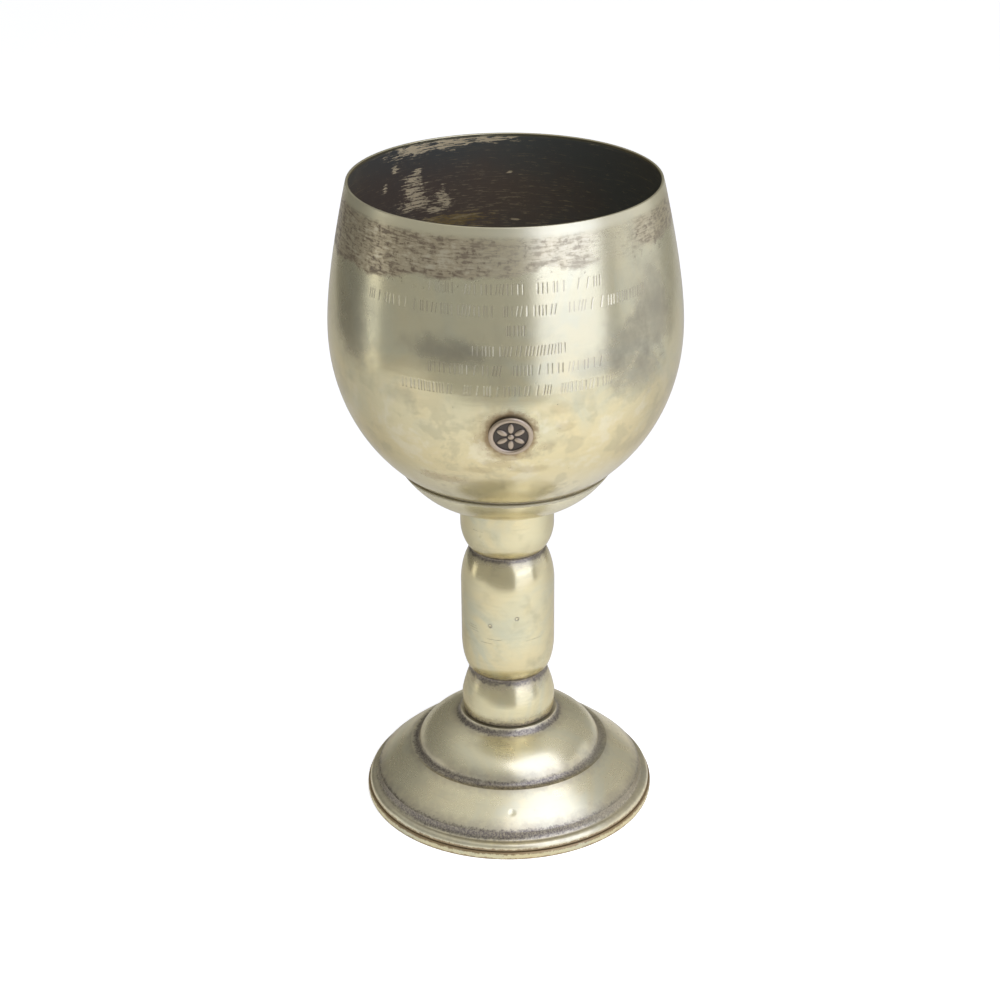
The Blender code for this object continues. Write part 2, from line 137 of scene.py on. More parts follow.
# Places inside the bowl where the tarnish is rubbed through
WORN_PATCHES = (
    Stain(-144.7, 0.1977, (0.0080, 0.0080, 0.0022)),
    Stain(-158.7, 0.1979, (0.0080, 0.0060, 0.0019)),
    Stain(-174.8, 0.1984, (0.0080, 0.0050, 0.0012)),
    Stain(-146.4, 0.1840, (0.0032, 0.0040, 0.0060)),
    Stain(-147.1, 0.1792, (0.0045, 0.0040, 0.0020)),
    Stain(-158.2, 0.1795, (0.0028, 0.0040, 0.0034)),
    Stain(-155.3, 0.1764, (0.0034, 0.0030, 0.0014)),
    Stain(-136.2, 0.1924, (0.0010, 0.0014, 0.0012)),
    Stain(-147.3, 0.1902, (0.0012, 0.0014, 0.0011)),
    Stain(176.7, 0.1871, (0.0009, 0.0010, 0.0004)),
    Stain(-132.2, 0.1868, (0.0008, 0.0012, 0.0014)),
    Stain(175.2, 0.1713, (0.0012, 0.0012, 0.0004)),
)
GOLD_STAIN = Stain(-162.4, 0.1720, (0.0100, 0.0060, 0.0024), 0.8)
# The place under the lip where the tarnish is rubbed thin
THIN_TARNISH = Stain(37.3, 0.1915, (0.0062, 0.0200, 0.0090), 0.7)
# Fine scratches round the stem: place and half length
SCRATCHES = (
    ((-0.0112, -0.0090, 0.0610), 0.0019),
    ((-0.0108, -0.0094, 0.0618), 0.0012),
    ((-0.0104, -0.0098, 0.0602), 0.0014),
    ((0.0020, -0.0143, 0.0590), 0.0045),
    ((-0.0045, -0.0136, 0.0586), 0.0022),
    ((0.0075, -0.0122, 0.0580), 0.0026),
    ((-0.0070, -0.0125, 0.0571), 0.0020),
    ((-0.0090, -0.0111, 0.0943), 0.0016),
)
# Small round dents: place on the outer side, width and depth
Dent = namedtuple("Dent", "place width depth")
DENTS = {
    "upper_knop": (Dent((-0.0084, -0.0113, 0.0928), 0.0012, 0.0001),),
    "stem_barrel": (Dent((-0.0057, -0.0131, 0.0632), 0.0013, 0.00018),
                    Dent((0.0024, -0.0141, 0.0660), 0.0013, 0.00018)),
    "foot": (Dent((0.0, -0.0367, 0.0114), 0.0030, 0.00012),),
}
PIT_STAIN = 0.0007
ENGRAVING_SEED = 7

# Silver: how many times a metre each pattern repeats, roughly, and how high the fine ones stand, in metres
CLOUD_SCALE = 45.0
WISP_SCALE = 32.0
HAZE_SCALE = 110.0
GRAIN_SCALE, GRAIN_HEIGHT = 1400.0, 0.0000022
WAVE_SCALE, WAVE_HEIGHT = 60.0, 0.00010
LINE_HEIGHT = 0.0000045
PIT_DEPTH = 0.00002
FLECK_SCALE = 1900.0
MOTTLE_SCALE = 95.0

# Tones of the bowl: the heights between which each one comes in
COOL_TONE = (0.148, 0.172)
MELLOW_TONE = (0.152, 0.132)
# The paler lowest band is a painted reflection of the pale floor
FLOOR_REFLECTION_TONE = (0.130, 0.116)
MOTTLED_TONE = (0.158, 0.144)
LIP_TONE = (0.1966, 0.1985)
LIP_SATIN = (0.1960, 0.1980)

# Tarnish under the lip: height of its foot at the middle of the front, how much that rises per metre towards
# +X and where the rise ends, and the heights between which it fades out under the lip
BAND_FOOT = 0.1874
BAND_RISE = 0.105
BAND_RISE_END = 0.010
BAND_FADE = (0.1958, 0.1982)

# Soft lights of the studio: name, the setting with its power, place, width and height, and tint
SoftLight = namedtuple("SoftLight", "name power place size tint")
SOFT_LIGHTS = (
    SoftLight("window_light", "key", (0.6855, -0.7613, 0.90), (1.32, 1.69), (0.91, 0.98, 1.36)),
    SoftLight("low_window_light", "low", (0.72, -0.86, -0.04), (0.95, 0.62), (0.91, 0.97, 1.28)),
    SoftLight("side_light", "side", (0.93, 0.10, 0.05), (0.75, 0.70), (0.96, 0.98, 1.15)),
    SoftLight("fill_light", "fill", (-0.90, 0.05, -0.01), (0.20, 0.42), (1.0, 1.0, 1.0)),
)
LIGHT_TARGET = (0.0, 0.0, 0.1)
SHEET_LAMP = (0.25, -0.40, 0.70)
SHEET_LAMP_TARGET = (0.10, -0.15, 0.0)
SHEET_LAMP_ANGLE = math.radians(36)


def srgb(red, green, blue):
    """Linear colour of a screen colour given from 0 to 255."""
    shares = [value / 255 for value in (red, green, blue)]
    return tuple(share / 12.92 if share <= 0.04045 else ((share + 0.055) / 1.055) ** 2.4 for share in shares)


def length(name, description, default):
    """A size in metres that the user can change."""
    return FloatProperty(name=name, description=description, default=default, precision=5,
                         subtype="DISTANCE", unit="LENGTH")


def turn(name, description, degrees):
    """An angle that the user can change."""
    return FloatProperty(name=name, description=description, default=math.radians(degrees),
                         subtype="ANGLE", unit="ROTATION")


def count(name, description, default):
    """A number of facets or copies that the user can change."""
    return IntProperty(name=name, description=description, default=default, min=1, max=1024)


def plain(name, description, default):
    """A plain number that the user can change."""
    return FloatProperty(name=name, description=description, default=default)


def colour(name, description, default):
    """A colour that the user can change."""
    return FloatVectorProperty(name=name, description=description, default=default, size=3,
                               min=0.0, max=1.0, subtype="COLOR")


class CupBowlSizes(bpy.types.PropertyGroup):
    base: length("Base height", "Height of the bowl's underside", BOWL_LOW.z)
    height: length("Height", "Height of the bowl from its underside to the lip", BOWL_HIGH.z - BOWL_LOW.z)
    radius: length("Belly radius", "Outer radius at the widest place", BOWL_HIGH.x)
    mouth_radius: length("Mouth radius", "Outer radius at the lip", 0.0450)
    belly_height: length("Belly height", "Height of the widest place above the base", 0.0542)
    straight_belly: length("Straight belly", "How far the side stays upright above the belly", 0.0143)
    fullness: plain("Fullness", "Power of the curve under the belly: 2 is round, more is squarer", 2.06)
    wall: length("Wall", "Thickness of the sheet", 0.0008)
    lip_rounding: length("Lip rounding", "Radius of the lip's two edges", 0.00025)
    level_step: length("Level step", "Largest distance between two rings of facets", 0.0015)
    steps: count("Steps", "Facets round the bowl", 256)


class CupEngravingSizes(bpy.types.PropertyGroup):
    height: length("Mark height", "Height of the engraved marks", 0.0029)
    width: length("Stroke width", "Width of a full stroke", 0.00046)
    thin_width: length("Thin stroke width", "Width of a thin stroke", 0.00032)
    depth: length("Depth", "Depth of the best kept strokes", 0.00009)
    margin: length("Margin", "Finely divided sheet above and below a row", 0.0002)
    guard: length("Guard", "Narrow ring of facets that borders a row", 0.00014)
    cuts: count("Cuts", "Cuts of each facet in a row", 7)
    passes: count("Passes", "Passes that sink the strokes", 5)
    word_gap: plain("Gap between runs", "Width of the gap between two runs, in marks", 0.8)


class CupDishSizes(bpy.types.PropertyGroup):
    base: length("Base height", "Height of the dish's underside", DISH_LOW.z)
    height: length("Height", "Height of the dish", DISH_HIGH.z - DISH_LOW.z)
    edge_radius: length("Edge radius", "Outer radius of the dish's edge", DISH_HIGH.x)
    wall: length("Wall", "Thickness of the sheet", 0.0008)
    edge_wall: length("Edge wall", "Thickness of the sheet at the edge", 0.0006)
    edge_slope: turn("Edge slope", "Slope of the outer side at its edge", 56.0)
    edge_bevel: length("Edge bevel", "Bevel of the outer edge", 0.0003)
    steps: count("Steps", "Facets round the dish", 192)


class CupStemSizes(bpy.types.PropertyGroup):
    barrel_radius: length("Barrel radius", "Outer radius of the stem barrel", BARREL_HIGH.x)
    barrel_top_round: length("Barrel top rounding", "Height over which the barrel rounds in at the top", 0.0105)
    barrel_foot_round: length("Barrel foot rounding", "Height over which the barrel rounds in below", 0.0095)
    upper_waist: length("Upper waist", "Outer radius where the barrel meets the upper knop", 0.01135)
    lower_waist: length("Lower waist", "Outer radius where the barrel meets the lower knop", 0.01175)
    upper_knop_radius: length("Upper knop radius", "Outer radius of the upper knop", UPPER_KNOP_HIGH.x)
    upper_knop_round: length("Upper knop rounding", "Height over which the upper knop rounds in", 0.0083)
    lower_knop_radius: length("Lower knop radius", "Outer radius of the lower knop", LOWER_KNOP_HIGH.x)
    lower_knop_round: length("Lower knop rounding", "Height over which the lower knop rounds in", 0.0087)
    lower_knop_taper: length("Lower knop taper", "How much the lower knop narrows to its foot", 0.0002)
    edge_rounding: length("Edge rounding", "Rounding of the knops' straight edges", 0.0004)
    wall: length("Wall", "Thickness of the sheet", 0.0010)
    facets: count("Curve facets", "Facets along each curve of an outline", 16)
    steps: count("Steps", "Facets round the stem", 128)


class CupFootSizes(bpy.types.PropertyGroup):
    base: length("Base height", "Height of the foot's underside", FOOT_LOW.z)
    edge_radius: length("Edge radius", "Outer radius of the foot", FOOT_HIGH.x)
    hole_radius: length("Hole radius", "Radius of the hole under the stem", 0.00915)
    collar_margin: length("Collar margin", "How far the collar stands out round the lower knop", 0.0007)
    collar_rise: length("Collar rise", "Height of the collar above the upper dome", 0.00205)
    collar_cove: length("Collar cove", "Width of the cove outside the collar", 0.0013)
    upper_dome_width: length("Upper dome width", "Width of the upper dome", 0.01195)
    upper_dome_rise: length("Upper dome rise", "Height of the upper dome", 0.00815)
    step_cove_width: length("Step cove width", "Width of the cove between the domes", 0.00285)
    step_cove_rise: length("Step cove rise", "Height of the cove between the domes", 0.00175)
    lower_dome_width: length("Lower dome width", "Width of the lower dome", 0.0103)
    lower_dome_rise: length("Lower dome rise", "Height of the lower dome", 0.0085)
    edge_cove_width: length("Edge cove width", "Width of the cove inside the bead", 0.0013)
    edge_cove_rise: length("Edge cove rise", "Height of the cove inside the bead", 0.0026)
    bead_width: length("Bead width", "Width of the bead round the edge", 0.00175)
    bead_height: length("Bead height", "Height of the bead round the edge", 0.0021)
    wall: length("Wall", "Thickness of the sheet", 0.0008)
    facets: count("Curve facets", "Facets along each curve of the outline", 14)
    steps: count("Steps", "Facets round the foot", 224)


class CupRingSizes(bpy.types.PropertyGroup):
    radius: length("Radius", "Outer radius of the base ring", RING_HIGH.x)
    height: length("Height", "Height of the base ring", RING_HIGH.z - RING_LOW.z)
    width: length("Width", "Width of the base ring's section", 0.0038)
    setback: length("Edge setback", "How far the lower edge stands in from the widest place", 0.0003)
    steps: count("Steps", "Facets round the ring", 224)


class CupBadgeSizes(bpy.types.PropertyGroup):
    radius: length("Radius", "Radius of the badge", 0.00615)
    below_belly: length("Below the belly", "How far the badge's middle is below the bowl's belly", 0.0140)
    plate: length("Plate", "Thickness of the badge's ground", 0.0004)
    rim_width: length("Rim width", "Width of the raised rim", 0.0015)
    rim_height: length("Rim height", "Height of the rim above the ground", 0.0006)
    rim_bevel: length("Rim bevel", "Rounding of the rim's edges", 0.0003)
    petals: count("Petals", "Petals of the rosette", 6)
    petal_length: length("Petal length", "Length of a petal", 0.0033)
    petal_width: length("Petal width", "Width of a petal", 0.0017)
    petal_height: length("Petal height", "Height of a petal above the ground", 0.00045)
    petal_reach: length("Petal reach", "Distance from the middle to a petal's middle", 0.0027)
    boss_radius: length("Boss radius", "Radius of the rosette's middle", 0.0009)
    clearance: length("Clearance", "Solder between the badge and the bowl", 0.0003)
    steps: count("Steps", "Facets round the badge", 120)


class CupColours(bpy.types.PropertyGroup):
    silver: colour("Silver", "Aged silver plate over a yellowish base metal", srgb(217, 208, 167))
    warm: colour("Warm silver", "Silver worn to a warmer tone", srgb(220, 206, 160))
    cool: colour("Cool silver", "Greyer silver of the upper bowl", srgb(212, 207, 176))
    clean: colour("Clean silver", "Silver rubbed clean", srgb(233, 227, 202))
    mellow: colour("Mellow silver", "Yellower silver of the lower bowl", srgb(219, 203, 154))
    dulled: colour("Dulled silver", "Grey-green wisps in the silver", srgb(199, 198, 170))
    haze: colour("Grey haze", "Thin grey tarnish", srgb(170, 162, 132))
    # On the bowl's left edge this grey is also a painted dark reflection of the dim room
    cloud: colour("Grey cloud", "Soft clouds of grey tarnish", srgb(146, 140, 122))
    # On the engraved strokes this tone is painted shade along their edges
    bloom: colour("Groove bloom", "Thin purple-grey tarnish that spreads from the grooves", srgb(158, 147, 130))
    tarnish: colour("Tarnish", "Purple-brown ground of the band under the lip", srgb(175, 157, 130))
    tarnish_dark: colour("Dark tarnish", "Specks and streaks in the band under the lip", srgb(112, 97, 80))
    groove: colour("Groove tarnish", "Dark grey tarnish in the coves and joints", srgb(104, 96, 91))
    brown: colour("Brown stain", "Brown stain round the badge and along the rim", srgb(138, 112, 76))
    # On the low bowl and on the dish this pale tone is a painted reflection of the pale floor
    bright: colour("Bright silver", "Pale silver of the foot, the dish and the low bowl", srgb(237, 230, 199))
    gold: colour("Gold stain", "Yellow stain low inside the bowl", srgb(190, 162, 100))
    badge: colour("Badge", "Rubbed metal of the badge", srgb(176, 160, 138))
    badge_ground: colour("Badge ground", "Blackened ground round the rosette", srgb(52, 46, 40))
    inside: colour("Inside", "Nearly black tarnish inside the bowl", srgb(140, 141, 133))
    inside_brown: colour("Brown inside", "Reddish brown tarnish inside the bowl", srgb(158, 135, 115))
    inside_worn: colour("Worn inside", "Places inside the bowl where the tarnish is thin", srgb(238, 218, 172))


class CupStudio(bpy.types.PropertyGroup):
    focal_length: plain("Focal length", "Focal length of the camera in millimetres", 80.06)
    distance: length("Distance", "How far the camera stands in front of the cup's axis", 0.60548)
    height: length("Camera height", "Height of the camera above the floor", 0.38731)
    aside: length("Aside", "How far the camera stands to the side, before it turns", -0.002124)
    azimuth: turn("Azimuth", "Turn of the camera round the cup", -1.1)
    pitch: turn("Pitch", "How far the camera looks down", 25.45)
    roll: turn("Roll", "Turn of the camera about its own line of sight", -0.53)
    sheet_width: length("Sheet width", "Width of the pale sheet that the cup stands on", 0.9)
    sheet_front: length("Sheet front", "How far the pale sheet reaches in front of the cup", 0.30)
    sheet_back: length("Sheet back", "How far the pale sheet reaches behind the cup", 2.4)
    sheet_glow: plain("Sheet glow", "Light that the near right part of the pale sheet gives off itself", 0.29)
    sheet_bleach: plain("Sheet bleach", "Light added to the sheet only where the camera sees it directly", 0.50)
    ceiling: plain("Ceiling light", "Strength of the even light from above", 0.80)
    room: plain("Room light", "Strength of the dim light from the front of the room", 0.40)
    room_back: plain("Back room light", "Strength of the dim light from behind on the left", 0.20)
    key: plain("Window light", "Power of the large soft light at the right front, in watts", 9.4)
    low: plain("Low window light", "Power of the lower part of that light, in watts", 1.95)
    side: plain("Side light", "Power of the wide weak light at the right, in watts", 0.8)
    fill: plain("Fill light", "Power of the narrow weak light at the left, in watts", 0.24)
    pool: plain("Sheet light", "Power of the lamp that lights the sheet at the right front, in watts", 7.0)


SETTINGS = {
    "cup_bowl": CupBowlSizes,
    "cup_engraving": CupEngravingSizes,
    "cup_dish": CupDishSizes,
    "cup_stem": CupStemSizes,
    "cup_foot": CupFootSizes,
    "cup_ring": CupRingSizes,
    "cup_badge": CupBadgeSizes,
    "cup_colours": CupColours,
    "cup_studio": CupStudio,
}


# Outlines

def bend(start, corner, end, facets):
    """Points of a quadratic curve that leaves start towards corner and arrives at end, start left out."""
    points = []
    for step in range(1, facets + 1):
        t = step / facets
        a, b, c = (1 - t) ** 2, 2 * t * (1 - t), t * t
        points.append((a * start[0] + b * corner[0] + c * end[0], a * start[1] + b * corner[1] + c * end[1]))
    return points


def outward_normal(before, after):
    """Unit normal on the outer side of an outline that runs from before to after, top to bottom."""
    across, up = after[0] - before[0], after[1] - before[1]
    size = math.hypot(across, up)
    return -up / size, across / size


def inset(points, distance):
    """The outline moved inwards by a wall thickness, with its ends kept level and folds left out."""
    moved, last = [], len(points) - 1
    for index, (radius, height) in enumerate(points):
        first = outward_normal(points[max(index - 1, 0)], points[max(index, 1)])
        second = outward_normal(points[min(index, last - 1)], points[min(index + 1, last)])
        across, up = first[0] + second[0], first[1] + second[1]
        size = math.hypot(across, up)
        across, up = across / size, up / size
        if index in (0, last):
            moved.append((radius - distance * min(1 / abs(across), MITRE_LIMIT), height))
            continue
        mitre = min(1 / (across * first[0] + up * first[1]), MITRE_LIMIT)
        moved.append((radius - distance * mitre * across, height - distance * mitre * up))
    kept = [moved[0]]
    for index in range(1, last + 1):
        step = (moved[index][0] - kept[-1][0], moved[index][1] - kept[-1][1])
        run = (points[index][0] - points[index - 1][0], points[index][1] - points[index - 1][1])
        if step[0] * run[0] + step[1] * run[1] > 0:
            kept.append(moved[index])
    return kept


def raised(points, height):
    """The outline moved up."""
    return [(radius, level + height) for radius, level in points]


def bowl_radius(bowl, height):
    """Outer radius of the bowl at a height above its own base."""
    if height <= bowl.belly_height:
        share = (bowl.belly_height - height) / bowl.belly_height
        return bowl.radius * max(0.0, 1 - share**bowl.fullness) ** (1 / bowl.fullness)
    corner = bowl.belly_height + bowl.straight_belly
    a = bowl.height - 2 * corner + bowl.belly_height
    b = 2 * (corner - bowl.height)
    t = (-b - math.sqrt(max(0.0, b * b - 4 * a * (bowl.height - height)))) / (2 * a)
    return bowl.mouth_radius * (1 - t) ** 2 + bowl.radius * (1 - (1 - t) ** 2)


def on_bowl(bowl, stain, wall=0.0):
    """A stain's place on the outside of the bowl, or inside it where its wall is given."""
    radius = bowl_radius(bowl, stain.height - bowl.base) - wall
    around = math.radians(stain.angle)
    return radius * math.sin(around), -radius * math.cos(around), stain.height


def filled(levels, step):
    """The levels with more between them, so that no two are further apart than step."""
    full = [levels[0]]
    for before, after in zip(levels, levels[1:]):
        parts = max(1, math.ceil(abs(after - before) / step - 0.001))
        full += [before + (after - before) * part / parts for part in range(1, parts + 1)]
    return full


def row_band(cut, row):
    """Top and foot of the finely divided band of a row, above the bowl's base."""
    half = cut.height / 2 + cut.margin
    return row.height + half, row.height - half


def bowl_side(bowl, marks=None):
    """Outer side of the bowl from under the lip down to the middle of its base."""
    levels = [bowl.height - bowl.lip_rounding]
    if marks is None:
        levels.append(bowl.belly_height)
    else:
        for row in ROWS:
            top, foot = row_band(marks, row)
            levels += [top + marks.guard, top, foot, foot - marks.guard]
    side = [(bowl_radius(bowl, level), level) for level in filled(levels, bowl.level_step)]
    power = 2 / bowl.fullness
    facets = math.ceil(bowl.belly_height * math.pi / 2 / bowl.level_step)
    lowest = side[-1][1]
    for step in range(1, facets):
        angle = math.pi / 2 * step / facets
        level = bowl.belly_height * (1 - math.sin(angle) ** power)
        if level < lowest - bowl.level_step / 3:
            side.append((bowl.radius * math.cos(angle) ** power, level))
    return side


def bowl_outline(bowl, marks):
    """Section of the bowl, from the middle of its floor over the lip to the middle of its underside."""
    outside, inside = bowl_side(bowl, marks), inset(bowl_side(bowl), bowl.wall)
    edge = bowl.lip_rounding
    inner_lip = bowl.mouth_radius - bowl.wall
    inside[0] = (inner_lip, bowl.height - edge)
    outside[0] = (bowl.mouth_radius, bowl.height - edge)
    over = bend(inside[0], (inner_lip, bowl.height), (inner_lip + edge, bowl.height), 4)
    top = (bowl.mouth_radius - edge, bowl.height)
    over += [top] + bend(top, (bowl.mouth_radius, bowl.height), outside[0], 4)[:-1]
    return [(0.0, bowl.wall)] + inside[::-1] + over + outside + [(0.0, 0.0)]


def dish_outline(dish, knop_radius, seat_radius):
    """Section of the dish that holds the bowl, which it meets at its edge."""
    edge = (dish.edge_radius, dish.height - dish.edge_bevel)
    corner = (edge[0] - edge[1] / math.tan(dish.edge_slope), 0.0)
    outside = [edge] + bend(edge, corner, (knop_radius, 0.0), 20)
    top = (seat_radius, dish.height)
    rim = bend(edge, (dish.edge_radius, dish.height), (dish.edge_radius - dish.edge_bevel, dish.height), 4)
    inside = [top] + bend(top, (corner[0] - dish.wall / 4, dish.wall), (knop_radius, dish.wall), 16)
    return [(0.0, dish.wall)] + inside[::-1] + rim[::-1] + outside + [(0.0, 0.0)]


def closed(points):
    """The outline with its first point added at its end."""
    return points + points[:1]


def tube(outside, wall):
    """Section of an open-ended hollow piece."""
    return closed(outside + inset(outside, wall)[::-1])


def upper_knop_outline(stem, gap):
    """Section of the upper knop: straight above, rounded in to the waist below."""
    high, low = UPPER_KNOP_HIGH.z + gap, UPPER_KNOP_LOW.z
    swell = stem.upper_knop_radius - stem.upper_waist
    turn_point = (stem.upper_knop_radius, low + stem.upper_knop_round)
    inward, up = UPPER_KNOP_CORNER
    corner = (stem.upper_knop_radius - swell * inward, low + stem.upper_knop_round * up)
    side = [(stem.upper_knop_radius, high), turn_point]
    side += bend(turn_point, corner, (stem.upper_waist, low), stem.facets) + [(stem.upper_waist, low - gap)]
    return tube(side, stem.wall)


def barrel_outline(stem, gap):
    """Section of the barrel: rounded in to a waist at both ends."""
    high, low = BARREL_HIGH.z, BARREL_LOW.z
    upper_turn = (stem.barrel_radius, high - stem.barrel_top_round)
    lower_turn = (stem.barrel_radius, low + stem.barrel_foot_round)
    inward, down = BARREL_TOP_CORNER
    upper_depth = stem.barrel_radius - stem.upper_waist
    upper_corner = (stem.barrel_radius - upper_depth * inward, high - stem.barrel_top_round * down)
    inward, up = BARREL_FOOT_CORNER
    lower_depth = stem.barrel_radius - stem.lower_waist
    lower_corner = (stem.barrel_radius - lower_depth * inward, low + stem.barrel_foot_round * up)
    side = [(stem.upper_waist, high + gap), (stem.upper_waist, high)]
    side += bend(side[1], upper_corner, upper_turn, stem.facets)
    barrel_levels = filled([upper_turn[1], lower_turn[1]], BARREL_LEVEL_STEP)
    side += [(stem.barrel_radius, level) for level in barrel_levels[1:]]
    side += bend(lower_turn, lower_corner, (stem.lower_waist, low), stem.facets)
    return tube(side + [(stem.lower_waist, low - gap)], stem.wall)


def lower_knop_outline(stem, gap):
    """Section of the lower knop: rounded out from the waist, then nearly straight to its foot."""
    high, low = LOWER_KNOP_HIGH.z, LOWER_KNOP_LOW.z
    swell = stem.lower_knop_radius - stem.lower_waist
    turn_point = (stem.lower_knop_radius, high - stem.lower_knop_round)
    inward, down = LOWER_KNOP_CORNER
    corner = (stem.lower_knop_radius - swell * inward, high - stem.lower_knop_round * down)
    foot_radius = stem.lower_knop_radius - stem.lower_knop_taper
    edge = (foot_radius, low + stem.edge_rounding)
    side = [(stem.lower_waist, high + gap), (stem.lower_waist, high)]
    side += bend(side[1], corner, turn_point, stem.facets) + [edge]
    side += bend(edge, (foot_radius, low), (foot_radius - stem.edge_rounding, low), 4)
    return tube(side + [(foot_radius - stem.edge_rounding, low - gap)], stem.wall)


def foot_radii(foot, stem):
    """Radii of the foot's coves and domes, from the collar outwards."""
    collar = stem.lower_knop_radius - stem.lower_knop_taper + foot.collar_margin
    upper_top = collar + foot.collar_cove
    upper_foot = upper_top + foot.upper_dome_width
    lower_top = upper_foot + foot.step_cove_width
    lower_foot = lower_top + foot.lower_dome_width
    return collar, upper_top, upper_foot, lower_top, lower_foot, lower_foot + foot.edge_cove_width


def foot_heights(foot):
    """Heights of the foot's coves and domes above its underside, from the collar down."""
    lower_foot = foot.bead_height + foot.edge_cove_rise
    lower_top = lower_foot + foot.lower_dome_rise
    upper_foot = lower_top + foot.step_cove_rise
    upper_top = upper_foot + foot.upper_dome_rise
    return upper_top + foot.collar_rise, upper_top, upper_foot, lower_top, lower_foot, foot.bead_height


def foot_side(foot, stem, facets):
    """Upper side of the foot, from the collar under the stem out to the bead at its edge."""
    collar, upper_top, upper_foot, lower_top, lower_foot, bead = zip(foot_radii(foot, stem), foot_heights(foot))
    out, down = COLLAR_TURN
    collar_edge = (collar[0] + foot.collar_cove * out, collar[1] - foot.collar_rise * down)
    inward, down = UPPER_DOME_CORNER
    upper_corner = (upper_foot[0] - foot.upper_dome_width * inward, upper_top[1] - foot.upper_dome_rise * down)
    out, down = STEP_COVE_CORNER
    step_corner = (upper_foot[0] + foot.step_cove_width * out, lower_top[1] - foot.step_cove_rise * down)
    inward, down = LOWER_DOME_CORNER
    lower_corner = (lower_foot[0] - foot.lower_dome_width * inward, lower_top[1] - foot.lower_dome_rise * down)
    out, up = EDGE_COVE_CORNER
    edge_corner = (lower_foot[0] + foot.edge_cove_width * out, bead[1] + foot.edge_cove_rise * up)
    side = [collar] + bend(collar, collar_edge, upper_top, facets // 2)
    side += bend(upper_top, upper_corner, upper_foot, facets)
    side += bend(upper_foot, step_corner, lower_top, facets)
    side += bend(lower_top, lower_corner, lower_foot, facets)
    return side + bend(lower_foot, edge_corner, bead, facets // 2)


def foot_outline(foot, stem):
    """Section of the foot, a sheet open beneath, with a hole under the stem."""
    top = foot_heights(foot)[0]
    bead_inner = foot_radii(foot, stem)[5]
    edge = (foot.edge_radius, 0.0)
    bead = bend((bead_inner, foot.bead_height), (foot.edge_radius, foot.bead_height), edge, 10)
    underside = inset(foot_side(foot, stem, max(2, foot.facets // 3)), foot.wall)
    underside = [point for point in underside if point[1] < top - foot.collar_rise]
    under_edge = [(bead_inner - foot.wall, 0.0)]
    under_collar = [(foot.hole_radius, top - foot.collar_rise / 2)]
    seat = [(foot.hole_radius, top)]
    return closed(seat + foot_side(foot, stem, foot.facets) + bead + under_edge + underside[::-1] + under_collar)


def ring_outline(ring):
    """Section of the base ring: flat above and beneath, half round outside."""
    inner = ring.radius - ring.width
    top = (ring.radius - 2 * ring.setback, ring.height)
    widest = (ring.radius, ring.height / 2)
    side = bend(top, (ring.radius, ring.height), widest, 8)
    side += bend(widest, (ring.radius, 0.0), (ring.radius - ring.setback, 0.0), 8)
    return closed([(inner, ring.height), top] + side + [(inner, 0.0)])


def badge_outline(badge):
    """Section of the badge about its own axis: a plate with a raised rounded rim."""
    ground = badge.radius - badge.rim_width
    crest = badge.plate + badge.rim_height
    inner, outer = ground + badge.rim_bevel, badge.radius - badge.rim_bevel
    middle = (inner + outer) / 2
    points = [(ground * part / 12, badge.plate) for part in range(13)]
    points += bend(points[-1], (ground + badge.rim_bevel / 4, crest), (middle, crest), 8)
    points += bend((middle, crest), (badge.radius, crest), (badge.radius, badge.plate), 8)
    return points + [(badge.radius * part / 8, 0.0) for part in range(8, -1, -1)]


# Modelling by hand

def edit(piece, mode="VERT"):
    """Open a piece in edit mode with the given kind of selection."""
    bpy.context.view_layer.objects.active = piece
    bpy.ops.object.mode_set(mode="EDIT")
    bpy.ops.mesh.select_mode(type=mode)


def done():
    """Back to object mode."""
    bpy.ops.object.mode_set(mode="OBJECT")


def turned(name, outline, base, steps):
    """A new piece whose outline is drawn vertex by vertex in the XZ plane and spun round the Z axis."""
    bpy.ops.object.select_all(action="DESELECT")
    bpy.ops.mesh.primitive_plane_add(size=START_SIZE)
    piece = bpy.context.active_object
    piece.name = piece.data.name = name
    edit(piece)
    bpy.ops.mesh.select_all(action="SELECT")
    bpy.ops.mesh.merge(type="CENTER")
    points = raised(outline, base)
    bpy.ops.transform.translate(value=(points[0][0], 0.0, points[0][1]))
    for before, after in zip(points, points[1:]):
        step = (after[0] - before[0], 0.0, after[1] - before[1])
        bpy.ops.mesh.extrude_region_move(TRANSFORM_OT_translate={"value": step})
    bpy.ops.mesh.select_all(action="SELECT")
    bpy.ops.mesh.spin(steps=steps, dupli=False, angle=2 * math.pi, center=(0, 0, 0), axis=(0, 0, 1))
    bpy.ops.mesh.select_all(action="SELECT")
    bpy.ops.mesh.remove_doubles(threshold=SEAM_DISTANCE)
    bpy.ops.mesh.normals_make_consistent(inside=False)
    done()
    return piece


def places(piece):
    """The places of a piece's vertices as rows of x, y and z."""
    flat = np.empty(len(piece.data.vertices) * 3)
    piece.data.vertices.foreach_get("co", flat)
    return flat.reshape(-1, 3)


def choose(piece, chosen, kind="vertices"):
    """Select only the vertices or polygons that chosen marks, and open the piece in edit mode."""
    edit(piece, "VERT" if kind == "vertices" else "FACE")
    bpy.ops.mesh.select_all(action="DESELECT")
    done()
    getattr(piece.data, kind).foreach_set("select", chosen)
    edit(piece, "VERT" if kind == "vertices" else "FACE")


def face_centres(piece):
    """Middle of each polygon of a piece."""
    flat = np.empty(len(piece.data.polygons) * 3)
    piece.data.polygons.foreach_get("center", flat)
    return flat.reshape(-1, 3)


def smooth(piece):
    """Smooth shading that keeps the sharp edges."""
    bpy.ops.object.select_all(action="DESELECT")
    piece.select_set(True)
    bpy.context.view_layer.objects.active = piece
    bpy.ops.object.shade_smooth_by_angle(angle=SMOOTH_ANGLE)


